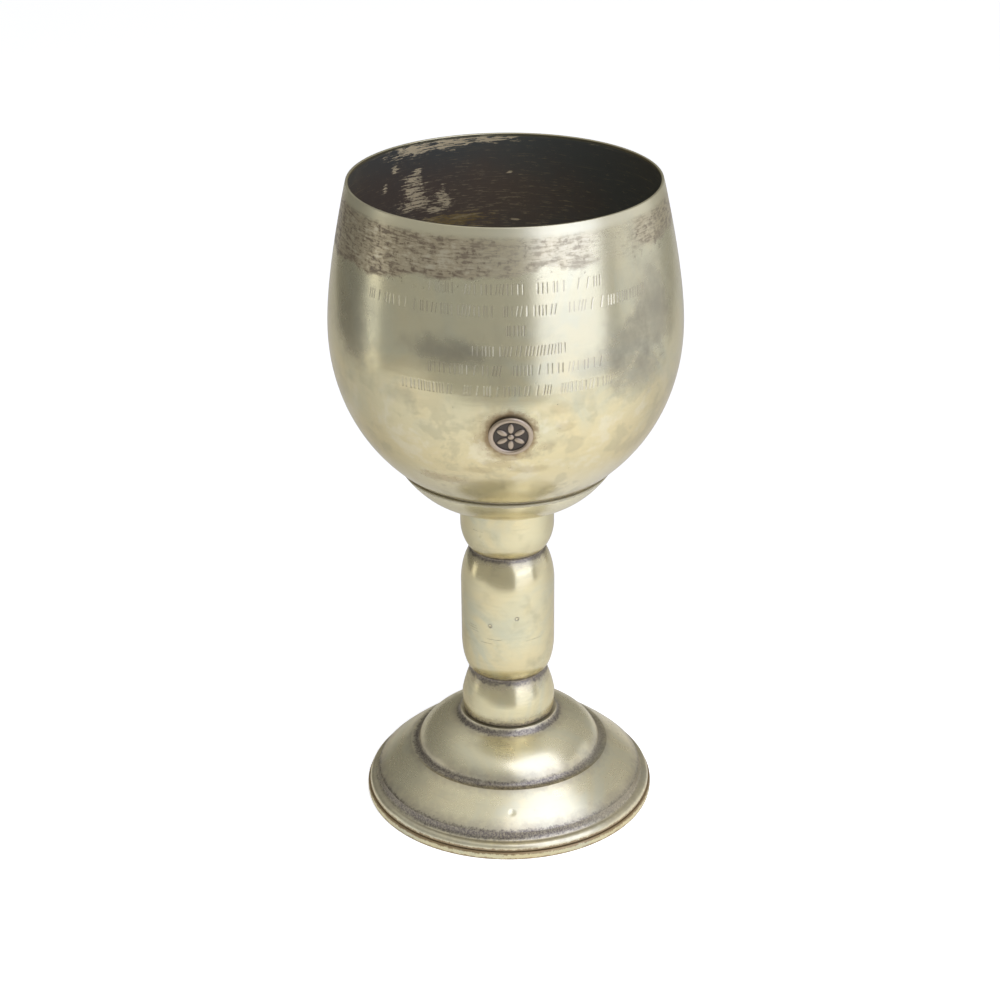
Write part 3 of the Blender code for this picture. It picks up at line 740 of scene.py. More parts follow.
def press(piece, dent, cuts=5):
    """Press a small round dent into the outer side of a piece."""
    place = np.array(dent.place)
    near = np.linalg.norm(face_centres(piece) - place, axis=1) < dent.width
    choose(piece, near, "polygons")
    bpy.ops.mesh.subdivide(number_cuts=cuts, smoothness=1.0)
    done()
    index = int(np.argmin(np.linalg.norm(places(piece) - place, axis=1)))
    push = -Vector(piece.data.vertices[index].normal) * dent.depth
    chosen = np.zeros(len(piece.data.vertices), bool)
    chosen[index] = True
    choose(piece, chosen)
    bpy.ops.transform.translate(value=push, use_proportional_edit=True, proportional_size=dent.width / 2,
                                proportional_edit_falloff="SMOOTH")
    done()


def engraved_strokes(bowl, cut):
    """Every stroke of the engraved rows, laid out round the bowl and worn to different depths."""
    draw = random.Random(ENGRAVING_SEED)
    strokes = []
    for row in ROWS:
        cells = sum(row.runs) + cut.word_gap * (len(row.runs) - 1)
        radius = bowl_radius(bowl, row.height)
        cell = math.radians(row.end - row.start) / cells * radius
        place = math.radians(row.start) * radius
        wear = draw.uniform(0.0, 6.0)
        for run in row.runs:
            for number in range(run):
                tall = cut.height * draw.uniform(0.86, 0.94)
                middle = row.height - (cut.height - tall) / 2
                kept = 0.62 + 0.38 * math.sin(wear + 0.9 * number)
                for start, end in draw.choice(MARKS):
                    ends = [(place + across * cell, middle + up * tall) for across, up in (start, end)]
                    width = cut.width if draw.random() < 0.6 else cut.thin_width
                    depth = cut.depth * max(0.3, kept * draw.uniform(0.8, 1.0))
                    strokes.append(Stroke(*ends, width, depth))
                place += cell
            place += cell * cut.word_gap
    return strokes


def engrave(piece, bowl, cut):
    """Divide the bowl finely along the rows, then sink the strokes into it pass by pass."""
    centres = face_centres(piece)
    angles = np.degrees(np.arctan2(centres[:, 0], -centres[:, 1]))
    levels = centres[:, 2] - bowl.base
    radii = np.hypot(centres[:, 0], centres[:, 1])
    outer = radii > np.array([bowl_radius(bowl, min(level, bowl.height)) for level in levels]) - bowl.wall / 2
    margin = math.degrees(cut.width / bowl.radius)
    in_rows = np.zeros(len(centres), bool)
    for row in ROWS:
        top, foot = row_band(cut, row)
        in_height = (levels < top) & (levels > foot)
        in_rows |= in_height & (angles > row.start - margin) & (angles < row.end + margin)
    choose(piece, in_rows & outer, "polygons")
    bpy.ops.mesh.subdivide(number_cuts=cut.cuts)
    done()

    spots = places(piece)
    levels = spots[:, 2] - bowl.base
    radii = np.hypot(spots[:, 0], spots[:, 1])
    true_radii = np.array([bowl_radius(bowl, min(max(level, 0.0), bowl.height)) for level in levels])
    outer = (radii > true_radii - bowl.wall / 2) & (levels > ROWS[-1].height - cut.height)
    outer &= levels < ROWS[0].height + cut.height
    spots[outer, :2] *= (true_radii[outer] / radii[outer])[:, None]
    piece.data.vertices.foreach_set("co", spots.ravel())

    flat = np.c_[np.arctan2(spots[outer, 0], -spots[outer, 1]) * true_radii[outer], levels[outer]]
    sunk = np.zeros(outer.sum())
    for stroke in engraved_strokes(bowl, cut):
        start, run = np.array(stroke.start), np.array(stroke.end) - stroke.start
        along = np.clip((flat - start) @ run / (run @ run), 0, 1)
        away = np.linalg.norm(flat - start - along[:, None] * run, axis=1)
        sunk = np.maximum(sunk, stroke.depth * np.clip(1 - (away / (stroke.width / 2)) ** 2, 0, 1))
    depths = np.zeros(len(spots))
    depths[outer] = sunk
    for number in range(cut.passes):
        choose(piece, depths > cut.depth * (number + 0.5) / cut.passes)
        bpy.ops.transform.shrink_fatten(value=-cut.depth / cut.passes)
        done()
    marks = piece.data.attributes.new("engraving", "FLOAT", "POINT")
    marks.data.foreach_set("value", depths / cut.depth)


def badge_place(bowl, badge, steps=200):
    """Fine outline of the bowl round the badge, with the run from the badge's middle, going up."""
    centre, span = bowl.belly_height - badge.below_belly, 2 * badge.radius
    heights = [centre + span * (2 * step / steps - 1) for step in range(steps + 1)]
    points = [(bowl_radius(bowl, height), height) for height in heights]
    runs = np.cumsum([0.0] + [math.dist(first, second) for first, second in zip(points, points[1:])])
    return np.array(points), runs - runs[steps // 2]


def wrap_on_bowl(piece, bowl, badge):
    """Lay a flat piece, made about the Z axis, on the front of the bowl so that it follows the curve."""
    points, runs = badge_place(bowl, badge)
    middle = len(points) // 2
    spots = places(piece)
    radius = np.interp(spots[:, 1], runs, points[:, 0])
    level = np.interp(spots[:, 1], runs, points[:, 1])
    rise = np.gradient(points, axis=0)
    rise /= np.hypot(rise[:, 0], rise[:, 1])[:, None]
    normal_out = np.interp(spots[:, 1], runs, rise[:, 1])
    normal_up = np.interp(spots[:, 1], runs, -rise[:, 0])
    lift = badge.clearance + spots[:, 2]
    around = spots[:, 0] / points[middle, 0]
    out = radius + lift * normal_out
    wrapped = np.c_[out * np.sin(around), -out * np.cos(around), bowl.base + level + lift * normal_up]
    piece.data.vertices.foreach_set("co", wrapped.ravel())
    piece.data.update()


# Shader nodes

class Net:
    """Adds nodes to a tree and joins them. An input may be a number, a colour or another node's socket."""

    def __init__(self, tree):
        self.tree = tree

    def node(self, kind, settings=None, **inputs):
        """A node with its settings made and its inputs set or linked, by name (_ for a space) or by index."""
        made = self.tree.nodes.new(kind)
        for key, value in (settings or {}).items():
            setattr(made, key, value)
        for key, value in inputs.items():
            socket = made.inputs[int(key[1:])] if key[0] == "i" and key[1:].isdigit() else made.inputs[
                key.replace("_", " ")]
            if isinstance(value, bpy.types.NodeSocket):
                self.tree.links.new(value, socket)
            else:
                socket.default_value = value
        return made

    def math(self, operation, first, second=0.0, third=0.0):
        """Result of an operation on two or three numbers."""
        made = self.node("ShaderNodeMath", {"operation": operation}, i0=first, i1=second)
        if operation == "MULTIPLY_ADD":
            if isinstance(third, bpy.types.NodeSocket):
                self.tree.links.new(third, made.inputs[2])
            else:
                made.inputs[2].default_value = third
        return made.outputs[0]

    def vector(self, operation, first, second=(0.0, 0.0, 0.0)):
        """Result of an operation on one or two vectors."""
        made = self.node("ShaderNodeVectorMath", {"operation": operation}, i0=first, i1=second)
        return made.outputs["Value" if operation in ("LENGTH", "DOT_PRODUCT") else "Vector"]

    def mix(self, factor, first, second):
        """Colour between first and second."""
        made = self.tree.nodes.new("ShaderNodeMix")
        made.data_type = "RGBA"
        for socket, value in ((made.inputs[0], factor), (made.inputs[6], first), (made.inputs[7], second)):
            if isinstance(value, bpy.types.NodeSocket):
                self.tree.links.new(value, socket)
            else:
                socket.default_value = value
        return made.outputs[2]

    def between(self, value, low, high, to_low=0.0, to_high=1.0):
        """A smooth step from to_low to to_high as value goes from low to high."""
        made = self.node("ShaderNodeMapRange", {"interpolation_type": "SMOOTHSTEP"}, Value=value, From_Min=low,
                         From_Max=high, To_Min=to_low, To_Max=to_high)
        return made.outputs["Result"]

    def noise(self, vector, scale, detail=3.0, roughness=0.55, distortion=0.0):
        """Cloudy noise from 0 to 1."""
        made = self.node("ShaderNodeTexNoise", None, Vector=vector, Scale=scale, Detail=detail,
                         Roughness=roughness, Distortion=distortion)
        return made.outputs["Fac"]


def group(name, inputs, outputs, build):
    """A node group, made once: build gets its net and its inputs by name and returns its outputs in order."""
    if name in bpy.data.node_groups:
        return bpy.data.node_groups[name]
    tree = bpy.data.node_groups.new(name, "ShaderNodeTree")
    for label, kind, default in inputs:
        socket = tree.interface.new_socket(label, in_out="INPUT", socket_type=kind)
        if default is not None:
            socket.default_value = default
    for label, kind in outputs:
        tree.interface.new_socket(label, in_out="OUTPUT", socket_type=kind)
    net = Net(tree)
    start, end = tree.nodes.new("NodeGroupInput"), tree.nodes.new("NodeGroupOutput")
    results = build(net, {label: start.outputs[label] for label, _, _ in inputs})
    for (label, _), result in zip(outputs, results):
        tree.links.new(result, end.inputs[label])
    return tree


FLOAT, VECTOR = "NodeSocketFloat", "NodeSocketVector"


def brushing_group():
    """Fine lines that run round the axis, as a spinning or polishing cloth leaves them."""
    def build(net, inputs):
        parts = net.node("ShaderNodeSeparateXYZ", None, Vector=inputs["Vector"])
        along = net.math("DIVIDE", 1.0, inputs["Length"])
        across = net.math("DIVIDE", 1.0, inputs["Line Width"])
        stretched = net.node("ShaderNodeCombineXYZ", None, X=net.math("MULTIPLY", parts.outputs[0], along),
                             Y=net.math("MULTIPLY", parts.outputs[1], along),
                             Z=net.math("MULTIPLY", parts.outputs[2], across))
        return [net.noise(stretched.outputs[0], 1.0, 4.0, 0.62)]
    return group("Brushing", [("Vector", VECTOR, None), ("Line Width", FLOAT, 0.0004), ("Length", FLOAT, 0.02)],
                 [("Lines", FLOAT)], build)


def ring_group():
    """Mask of a ring round the axis, at a radius and height, with a ragged edge."""
    def build(net, inputs):
        parts = net.node("ShaderNodeSeparateXYZ", None, Vector=inputs["Vector"])
        flat = net.node("ShaderNodeCombineXYZ", None, X=parts.outputs[0], Y=parts.outputs[1])
        away = net.math("SUBTRACT", net.vector("LENGTH", flat.outputs[0]), inputs["Radius"])
        above = net.math("SUBTRACT", parts.outputs[2], inputs["Height"])
        above = net.math("DIVIDE", above, inputs["Stretch"])
        distance = net.math("SQRT", net.math("ADD", net.math("MULTIPLY", away, away),
                                             net.math("MULTIPLY", above, above)))
        fineness = net.math("DIVIDE", 1.0, inputs["Grain"])
        grain = net.math("SUBTRACT", net.noise(inputs["Vector"], fineness, 4.0, 0.7), 0.5)
        distance = net.math("MULTIPLY_ADD", grain, inputs["Raggedness"], distance)
        outside = net.math("ADD", inputs["Width"], inputs["Feather"])
        inside = net.math("SUBTRACT", inputs["Width"], inputs["Feather"])
        return [net.between(distance, inside, outside, 1.0, 0.0)]
    return group("Ring mask", [("Vector", VECTOR, None), ("Radius", FLOAT, 0.03), ("Height", FLOAT, 0.0),
                               ("Width", FLOAT, 0.001), ("Feather", FLOAT, 0.0005), ("Stretch", FLOAT, 1.0),
                               ("Raggedness", FLOAT, 0.001), ("Grain", FLOAT, 0.001)], [("Mask", FLOAT)], build)


def spot_group():
    """Mask of a soft stain round a place, with a ragged edge."""
    def build(net, inputs):
        away = net.vector("SUBTRACT", inputs["Vector"], inputs["Place"])
        distance = net.vector("LENGTH", net.vector("DIVIDE", away, inputs["Size"]))
        fineness = net.math("DIVIDE", 1.0, inputs["Grain"])
        grain = net.math("SUBTRACT", net.noise(inputs["Vector"], fineness, 4.0, 0.6), 0.5)
        distance = net.math("MULTIPLY_ADD", grain, inputs["Raggedness"], distance)
        low = net.math("SUBTRACT", 1.0, inputs["Feather"])
        return [net.between(distance, low, net.math("ADD", 1.0, inputs["Feather"]), 1.0, 0.0)]
    return group("Stain mask", [("Vector", VECTOR, None), ("Place", VECTOR, None), ("Size", VECTOR, (0.01,) * 3),
                                ("Feather", FLOAT, 0.5), ("Raggedness", FLOAT, 1.0), ("Grain", FLOAT, 0.003)],
                 [("Mask", FLOAT)], build)


def speck_group():
    """Mask of small round specks strewn over the surface."""
    def build(net, inputs):
        cells = net.node("ShaderNodeTexVoronoi", {"feature": "F1"}, Vector=inputs["Vector"],
                         Scale=net.math("DIVIDE", 1.0, inputs["Spacing"]))
        reach = net.math("DIVIDE", inputs["Size"], inputs["Spacing"])
        near = net.between(cells.outputs["Distance"], 0.0, reach, 1.0, 0.0)
        parts = net.node("ShaderNodeSeparateXYZ", None, Vector=cells.outputs["Color"])
        there = net.math("LESS_THAN", parts.outputs[0], inputs["Density"])
        return [net.math("MULTIPLY", near, there)]
    return group("Specks", [("Vector", VECTOR, None), ("Spacing", FLOAT, 0.003), ("Size", FLOAT, 0.0004),
                            ("Density", FLOAT, 0.3)], [("Mask", FLOAT)], build)


class Finish:
    """A metal finish that is laid down coat by coat on a new material."""

    def __init__(self, name, base, roughness, metallic=0.87):
        self.material = bpy.data.materials.new(name)
        self.material.use_nodes = True
        self.net = Net(self.material.node_tree)
        self.shader = self.material.node_tree.nodes["Principled BSDF"]
        self.place = self.net.node("ShaderNodeTexCoord").outputs["Object"]
        self.colour = (*base, 1.0)
        self.roughness, self.metallic, self.height = roughness, metallic, 0.0

    def mask(self, tree, **inputs):
        """A mask from a node group, at this finish's place."""
        made = self.net.node("ShaderNodeGroup", {"node_tree": tree}, Vector=self.place, **inputs)
        return made.outputs[0]

    def coat(self, mask, tone=None, roughness=None, metallic=None):
        """Lay a coat over what is there, as far as the mask says."""
        if tone is not None:
            self.colour = self.net.mix(mask, self.colour, (*tone, 1.0))
        for name, value in (("roughness", roughness), ("metallic", metallic)):
            if value is not None:
                old = getattr(self, name)
                change = self.net.math("SUBTRACT", value, old)
                setattr(self, name, self.net.math("MULTIPLY_ADD", mask, change, old))

    def relief(self, height, amount):
        """Add to the height of the surface, in metres."""
        self.height = self.net.math("MULTIPLY_ADD", height, amount, self.height)

    def close(self):
        """Join the coats to the shader."""
        links = self.material.node_tree.links
        looks = (("Base Color", self.colour), ("Roughness", self.roughness), ("Metallic", self.metallic))
        for name, value in looks:
            if isinstance(value, bpy.types.NodeSocket):
                links.new(value, self.shader.inputs[name])
            else:
                self.shader.inputs[name].default_value = value
        self.shader.inputs["Specular Tint"].default_value = (0.94, 0.88, 0.72, 1.0)
        self.shader.inputs["Coat Weight"].default_value = 0.25
        self.shader.inputs["Coat Roughness"].default_value = 0.18
        bump = self.net.node("ShaderNodeBump", None, Height=self.height, Strength=1.0, Distance=1.0)
        links.new(bump.outputs["Normal"], self.shader.inputs["Normal"])
        return self.material


def silver(name, colours, roughness=0.2):
    """Aged silver plate: cloudy tone, fine polishing lines and a few pits, ready for more coats."""
    finish = Finish(name, colours.silver, roughness)
    net = finish.net
    clouds = net.between(net.noise(finish.place, CLOUD_SCALE, 3.0, 0.6, 0.6), 0.35, 0.68)
    finish.coat(clouds, colours.warm)
    wisps = net.between(net.noise(finish.place, WISP_SCALE, 5.0, 0.62, 1.4), 0.45, 0.64, 0.0, 0.75)
    finish.coat(wisps, colours.dulled, roughness + 0.05)
    haze = net.between(net.noise(finish.place, HAZE_SCALE, 5.0, 0.68), 0.50, 0.76, 0.0, 0.5)
    finish.coat(haze, colours.haze, roughness + 0.12)
    lines = finish.mask(brushing_group(), Line_Width=0.00035, Length=0.012)
    finish.coat(net.between(lines, 0.5, 0.8, 0.0, 0.3), colours.haze, roughness + 0.16)
    finish.relief(lines, LINE_HEIGHT)
    finish.relief(net.noise(finish.place, GRAIN_SCALE, 3.0, 0.6), GRAIN_HEIGHT)
    finish.relief(net.noise(finish.place, WAVE_SCALE, 2.0, 0.5), WAVE_HEIGHT)
    pits = finish.mask(speck_group(), Spacing=0.0032, Size=0.00028, Density=0.16)
    finish.coat(net.math("MULTIPLY", pits, 0.7), colours.groove, 0.5)
    finish.relief(pits, -PIT_DEPTH)
    return finish


def ring_coat(finish, radius, height, width, tone, roughness=0.5, metallic=0.75, strength=0.9, feather=0.35,
              ragged=2.4, grain=0.0011):
    """Lay a ring of tarnish round the axis."""
    mask = finish.mask(ring_group(), Radius=radius, Height=height, Width=width, Feather=width * feather,
                       Raggedness=width * ragged, Grain=grain)
    finish.coat(finish.net.math("MULTIPLY", mask, strength), tone, roughness, metallic)


def groove_coat(finish, colours, radius, height, width, ragged=2.4, grain=0.0011):
    """Flecked tarnish packed into a groove, with a thin haze that spreads out of it, thinned towards +X as a
    painted sheen.
    """
    ring_coat(finish, radius, height, width * 2.3, colours.bloom, 0.42, 0.9, 0.5, 0.7, 2.0, 0.003)
    net = finish.net
    mask = finish.mask(ring_group(), Radius=radius, Height=height, Width=width, Feather=width * 0.45,
                       Raggedness=width * ragged, Grain=grain)
    flecks_and_sheen = net.between(net.noise(finish.place, FLECK_SCALE, 4.0, 0.7), 0.40, 0.58, 0.5, 0.95)
    # Thinner towards +X: a painted sheen on the side lit by the window light
    across = net.node("ShaderNodeSeparateXYZ", None, Vector=finish.place).outputs[0]
    flecks_and_sheen = net.math("MULTIPLY", flecks_and_sheen, net.between(across, 0.012, 0.032, 1.0, 0.65))
    finish.coat(net.math("MULTIPLY", mask, flecks_and_sheen), colours.groove, 0.36, 0.85)


def pit_coat(finish, colours, place, size):
    """A small round pit with a dark edge."""
    spot_coat(finish, place, (size,) * 3, colours.groove, 0.4, 0.8, 0.6, 0.25, 0.3, 0.001)
    spot_coat(finish, place, (size * 0.6,) * 3, colours.silver, 0.2, 0.9, 0.9, 0.25, 0.3, 0.001)


def spot_coat(finish, place, size, tone, roughness=0.4, metallic=0.85, strength=0.8, feather=0.5, ragged=1.0,
              grain=0.004):
    """Lay a soft stain round a place."""
    mask = finish.mask(spot_group(), Place=place, Size=size, Feather=feather, Raggedness=ragged, Grain=grain)
    finish.coat(finish.net.math("MULTIPLY", mask, strength), tone, roughness, metallic)
    return mask


def tarnish_band(finish, bowl, colours):
    """Purple-brown tarnish under the lip, streaked and speckled. Its ragged foot is lower on the left."""
    net, place = finish.net, finish.place
    parts = net.node("ShaderNodeSeparateXYZ", None, Vector=place)
    height = parts.outputs[2]
    sideways = net.math("MINIMUM", parts.outputs[0], BAND_RISE_END)
    foot_line = net.math("MULTIPLY_ADD", sideways, BAND_RISE, BAND_FOOT)
    wander = net.math("MULTIPLY_ADD", net.noise(place, 90.0, 4.0, 0.65), 0.0070, -0.0035)
    rise = net.math("ADD", net.math("SUBTRACT", height, foot_line), wander)
    under_lip = net.between(height, *BAND_FADE, 1.0, 0.0)
    thin = finish.mask(spot_group(), Place=on_bowl(bowl, THIN_TARNISH), Size=THIN_TARNISH.reach, Feather=0.35,
                       Raggedness=1.0, Grain=0.005)
    left_over = net.math("MULTIPLY_ADD", thin, -THIN_TARNISH.strength, 1.0)
    paler = net.math("MULTIPLY", net.between(parts.outputs[0], -0.014, 0.004),
                     net.between(parts.outputs[0], 0.035, 0.028, 0.65, 1.0))
    left_over = net.math("MULTIPLY", left_over, net.math("MULTIPLY_ADD", paler, -0.48, 1.0))
    band = net.math("MULTIPLY", net.between(rise, -0.0005, 0.0010), under_lip)
    band = net.math("MULTIPLY", band, left_over)
    finish.coat(net.math("MULTIPLY", band, 0.62), colours.tarnish, 0.40, 0.85)

    streaks = finish.mask(brushing_group(), Line_Width=0.00060, Length=0.0034)
    grains = net.noise(place, 560.0, 4.0, 0.7)
    mottle = net.math("ADD", net.math("MULTIPLY", streaks, 0.60), net.math("MULTIPLY", grains, 0.40))
    clumps = net.math("MULTIPLY_ADD", net.noise(place, 130.0, 3.0, 0.6), 0.30, -0.15)
    near_foot = net.between(rise, 0.0004, 0.0034, 0.045, 0.0)
    mottle = net.math("ADD", net.math("ADD", mottle, clumps), near_foot)
    dark = net.math("MULTIPLY", net.between(mottle, 0.470, 0.590), band)
    finish.coat(net.math("MULTIPLY", dark, 0.78), colours.tarnish_dark, 0.5, 0.6)
    finish.coat(net.math("MULTIPLY", net.between(mottle, 0.46, 0.38, 0.0, 0.45), band), colours.clean, 0.3)
    strays = net.math("MULTIPLY", net.between(rise, -0.0040, -0.0004), net.between(grains, 0.585, 0.640))
    strays = net.math("MULTIPLY", strays, net.math("MULTIPLY", under_lip, left_over))
    finish.coat(net.math("MULTIPLY", strays, 0.55), colours.tarnish_dark, 0.5, 0.7)
    finish.relief(dark, 0.000004)
    finish.coat(net.between(height, *LIP_TONE, 0.0, 0.25), colours.clean)
    finish.coat(net.between(height, *LIP_SATIN, 0.0, 0.80), None, 0.36)


def bowl_outside(bowl, badge, colours):
    """Silver of the bowl, with a tarnished lip, grey clouds of tarnish that are partly painted dark reflection,
    a paler low part that is a painted reflection of the floor, engraved rows with painted shade along their
    edges and a brown halo round the badge.
    """
    finish = silver("bowl_silver_outside", colours)
    net = finish.net
    height = net.node("ShaderNodeSeparateXYZ", None, Vector=finish.place).outputs[2]
    finish.coat(net.between(height, *COOL_TONE, 0.0, 0.60), colours.cool, 0.24)
    finish.coat(net.between(height, *MELLOW_TONE, 0.0, 0.70), colours.mellow)
    # Paler low on the bowl: a painted reflection of the pale floor
    finish.coat(net.between(height, *FLOOR_REFLECTION_TONE, 0.0, 0.85), colours.bright)
    mottled = net.noise(finish.place, MOTTLE_SCALE, 5.0, 0.62, 0.2)
    low = net.between(height, *MOTTLED_TONE)
    finish.coat(net.math("MULTIPLY", net.between(mottled, 0.52, 0.60, 0.0, 0.34), low), colours.haze)
    finish.coat(net.math("MULTIPLY", net.between(mottled, 0.47, 0.37, 0.0, 0.32), low), colours.clean)
    # Grey tarnish clouds; those at the left edge are also painted dark reflection
    for stain in TARNISH_AND_PAINTED_REFLECTION_CLOUDS:
        spot_coat(finish, on_bowl(bowl, stain), stain.reach, colours.cloud, 0.34, 0.9, stain.strength, 0.75,
                  1.8, 0.005)
    for stain in BROWN_STAINS:
        spot_coat(finish, on_bowl(bowl, stain), stain.reach, colours.brown, 0.4, 0.9, stain.strength, 0.45,
                  1.8, 0.0024)
    tarnish_band(finish, bowl, colours)

    centre = bowl.belly_height - badge.below_belly
    spot = (0.0, -bowl_radius(bowl, centre), bowl.base + centre)
    around = badge.radius
    spot_coat(finish, spot, (around * 1.20,) * 3, colours.brown, 0.5, 0.7, 0.80, 0.16, 0.6, 0.0018)
    left = (spot[0] - around * 0.35, spot[1], spot[2])
    spot_coat(finish, left, (around * 1.30,) * 3, colours.brown, 0.45, 0.85, 0.35, 0.35, 0.9, 0.002)
    below = (spot[0], spot[1] + around * 0.2, spot[2] - around * 1.17)
    spot_coat(finish, below, (around * 0.9, around, around * 0.25), colours.brown, 0.45, 0.8, 0.4, 0.5, 1.8,
              0.0014)

    engraving = net.node("ShaderNodeAttribute", {"attribute_name": "engraving"}).outputs["Fac"]
    # Darker rim along the edges of each stroke: painted shade of the groove walls, in the bloom colour
    edge = net.math("MULTIPLY", net.between(engraving, 0.02, 0.2), net.between(engraving, 0.55, 0.25))
    finish.coat(net.math("MULTIPLY", edge, 0.45), colours.bloom, 0.36)
    finish.coat(net.between(engraving, 0.3, 0.7, 0.0, 0.5), colours.clean, 0.34)
    ring_coat(finish, DISH_HIGH.x, DISH_HIGH.z, 0.0009, colours.bloom, 0.5, 0.3, 0.7)
    return finish.close()


def bowl_inside(bowl, colours):
    """Nearly black tarnish inside the bowl, scratched and rubbed through in places on the left."""
    finish = Finish("bowl_silver_inside", colours.inside, 0.40, 0.75)
    net, place = finish.net, finish.place
    brown = spot_coat(finish, (-0.008, 0.045, 0.177), (0.032, 0.030, 0.013), colours.inside_brown, 0.42, 0.7,
                      0.8, 0.7, 1.0, 0.012)
    spot_coat(finish, (-0.034, 0.020, 0.184), (0.018, 0.026, 0.010), colours.inside_brown, 0.42, 0.7, 0.6, 0.7,
              1.0, 0.012)
    lines = finish.mask(brushing_group(), Line_Width=0.0005, Length=0.016)
    finish.coat(net.between(lines, 0.56, 0.78, 0.0, 0.35), colours.inside_worn, 0.34)
    finish.relief(lines, 0.000006)
    streaks = finish.mask(brushing_group(), Line_Width=0.00036, Length=0.0042)
    grains = net.noise(place, 900.0, 4.0, 0.7)
    rubbed = net.math("ADD", net.math("MULTIPLY", streaks, 0.8), net.math("MULTIPLY", grains, 0.2))
    rubbed = net.math("MULTIPLY_ADD", rubbed, 6.0, -3.0)
    thin = 0.0
    for stain in WORN_PATCHES:
        mask = finish.mask(spot_group(), Place=on_bowl(bowl, stain, bowl.wall), Size=stain.reach, Feather=0.8,
                           Raggedness=1.2, Grain=0.003)
        thin = net.math("MAXIMUM", thin, mask)
    worn = net.between(net.math("ADD", thin, rubbed), 0.55, 0.85)
    worn = net.math("MULTIPLY", worn, net.between(thin, 0.0, 0.1))
    finish.coat(net.math("MULTIPLY", worn, 0.95), colours.inside_worn, 0.45, 0.1)
    gold = finish.mask(spot_group(), Place=on_bowl(bowl, GOLD_STAIN, bowl.wall), Size=GOLD_STAIN.reach,
                       Feather=0.8, Raggedness=1.2, Grain=0.003)
    stained = net.between(net.math("ADD", gold, rubbed), 0.45, 0.9)
    gold = net.math("MULTIPLY", stained, net.between(gold, 0.0, 0.1))
    finish.coat(net.math("MULTIPLY", gold, GOLD_STAIN.strength), colours.gold, 0.45, 0.4)
    sprinkled = net.between(net.math("ADD", rubbed, net.math("MULTIPLY", brown, 0.28)), 0.62, 0.85, 0.0, 0.45)
    finish.coat(sprinkled, colours.inside_worn, 0.45, 0.4)
    lip = bowl.base + bowl.height
    parts = net.node("ShaderNodeSeparateXYZ", None, Vector=place)
    finish.coat(net.between(parts.outputs[2], lip - 0.0012, lip - 0.0006, 0.0, 0.8), colours.silver, 0.3, 1.0)
    return finish.close()


def dish_silver(dish, stem, colours):
    """Silver of the dish, paler all over as a painted reflection of the floor, tarnished along its edge and
    where the knop meets it.
    """
    finish = silver("dish_silver", colours, 0.22)
    # Paler all over: a painted reflection of the pale floor on the dish under the bowl
    finish.coat(0.8, colours.bright)
    ring_coat(finish, dish.edge_radius, dish.base + dish.height, 0.0009, colours.haze, 0.5, 0.2, 0.8)
    groove_coat(finish, colours, stem.upper_knop_radius, dish.base, 0.0009)
    return finish.close()


def stem_silver(stem, colours):
    """Silver of the stem, scratched, dark in its joints, with a ragged band of solder under the barrel."""
    finish = silver("stem_silver", colours)
    groove_coat(finish, colours, stem.upper_knop_radius, UPPER_KNOP_HIGH.z, 0.0006)
    groove_coat(finish, colours, stem.upper_waist, BARREL_HIGH.z, 0.0009)
    groove_coat(finish, colours, stem.lower_waist, LOWER_KNOP_HIGH.z - 0.0001, 0.0012, 3.4, 0.0014)
    foot = stem.lower_knop_radius - stem.lower_knop_taper
    groove_coat(finish, colours, foot, LOWER_KNOP_LOW.z, 0.0010, 3.6, 0.0012)
    for dent in DENTS["stem_barrel"]:
        pit_coat(finish, colours, dent.place, PIT_STAIN)
    for spot, half in SCRATCHES:
        line = finish.mask(ring_group(), Radius=math.hypot(spot[0], spot[1]), Height=spot[2], Width=0.00007,
                           Feather=0.00006, Raggedness=0.0003, Grain=0.003)
        there = finish.mask(spot_group(), Place=spot, Size=(half, 0.004, 0.002), Feather=0.3, Raggedness=0.8,
                            Grain=0.001)
        scratch = finish.net.math("MULTIPLY", line, there)
        finish.coat(finish.net.math("MULTIPLY", scratch, 0.5), colours.groove, 0.5)
    return finish.close()


def foot_silver(foot, stem, colours):
    """Satin silver of the foot, with grey tarnish packed in its coves and a brown line along its rim."""
    finish = silver("foot_silver", colours, 0.27)
    finish.coat(0.45, colours.bright)
    radii = foot_radii(foot, stem)
    heights = [foot.base + height for height in foot_heights(foot)]
    groove_coat(finish, colours, (radii[0] + radii[1]) / 2, heights[1] + 0.0006, 0.0009, 3.0, 0.0010)
    groove_coat(finish, colours, (radii[2] + radii[3]) / 2 - 0.0002, (heights[2] + heights[3]) / 2 - 0.0001,
                0.0012, 2.4, 0.0012)
    groove_coat(finish, colours, radii[4] + 0.0001, heights[4] - 0.0009, 0.0014, 2.6, 0.0009)
    ring_coat(finish, foot.edge_radius, foot.base, 0.0006, colours.brown, strength=0.85)
    return finish.close()


def ring_silver(foot, ring, colours):
    """Silver of the base ring, brown along the seam above it and darker underneath."""
    finish = silver("ring_silver", colours, 0.28)
    ring_coat(finish, foot.edge_radius + 0.0002, ring.height, 0.0007, colours.brown, strength=0.85)
    ring_coat(finish, ring.radius, 0.0, 0.0006, colours.brown, strength=0.7, ragged=3.4, grain=0.0022)
    return finish.close()


def badge_silver(colours):
    """Darkened silver of the badge, rubbed bright on its rim and rosette."""
    finish = Finish("badge_silver", colours.badge, 0.34, 0.95)
    net = finish.net
    mottled = net.between(net.noise(finish.place, 900.0, 4.0, 0.65), 0.42, 0.66, 0.0, 0.55)
    finish.coat(mottled, colours.tarnish, 0.45)
    high = net.node("ShaderNodeAttribute", {"attribute_name": "relief"}).outputs["Fac"]
    finish.coat(net.between(high, 0.15, 0.75, 0.92, 0.0), colours.badge_ground, 0.55, 0.6)
    finish.relief(net.noise(finish.place, 1500.0, 3.0, 0.6), 0.00001)
    return finish.close()


# Operators

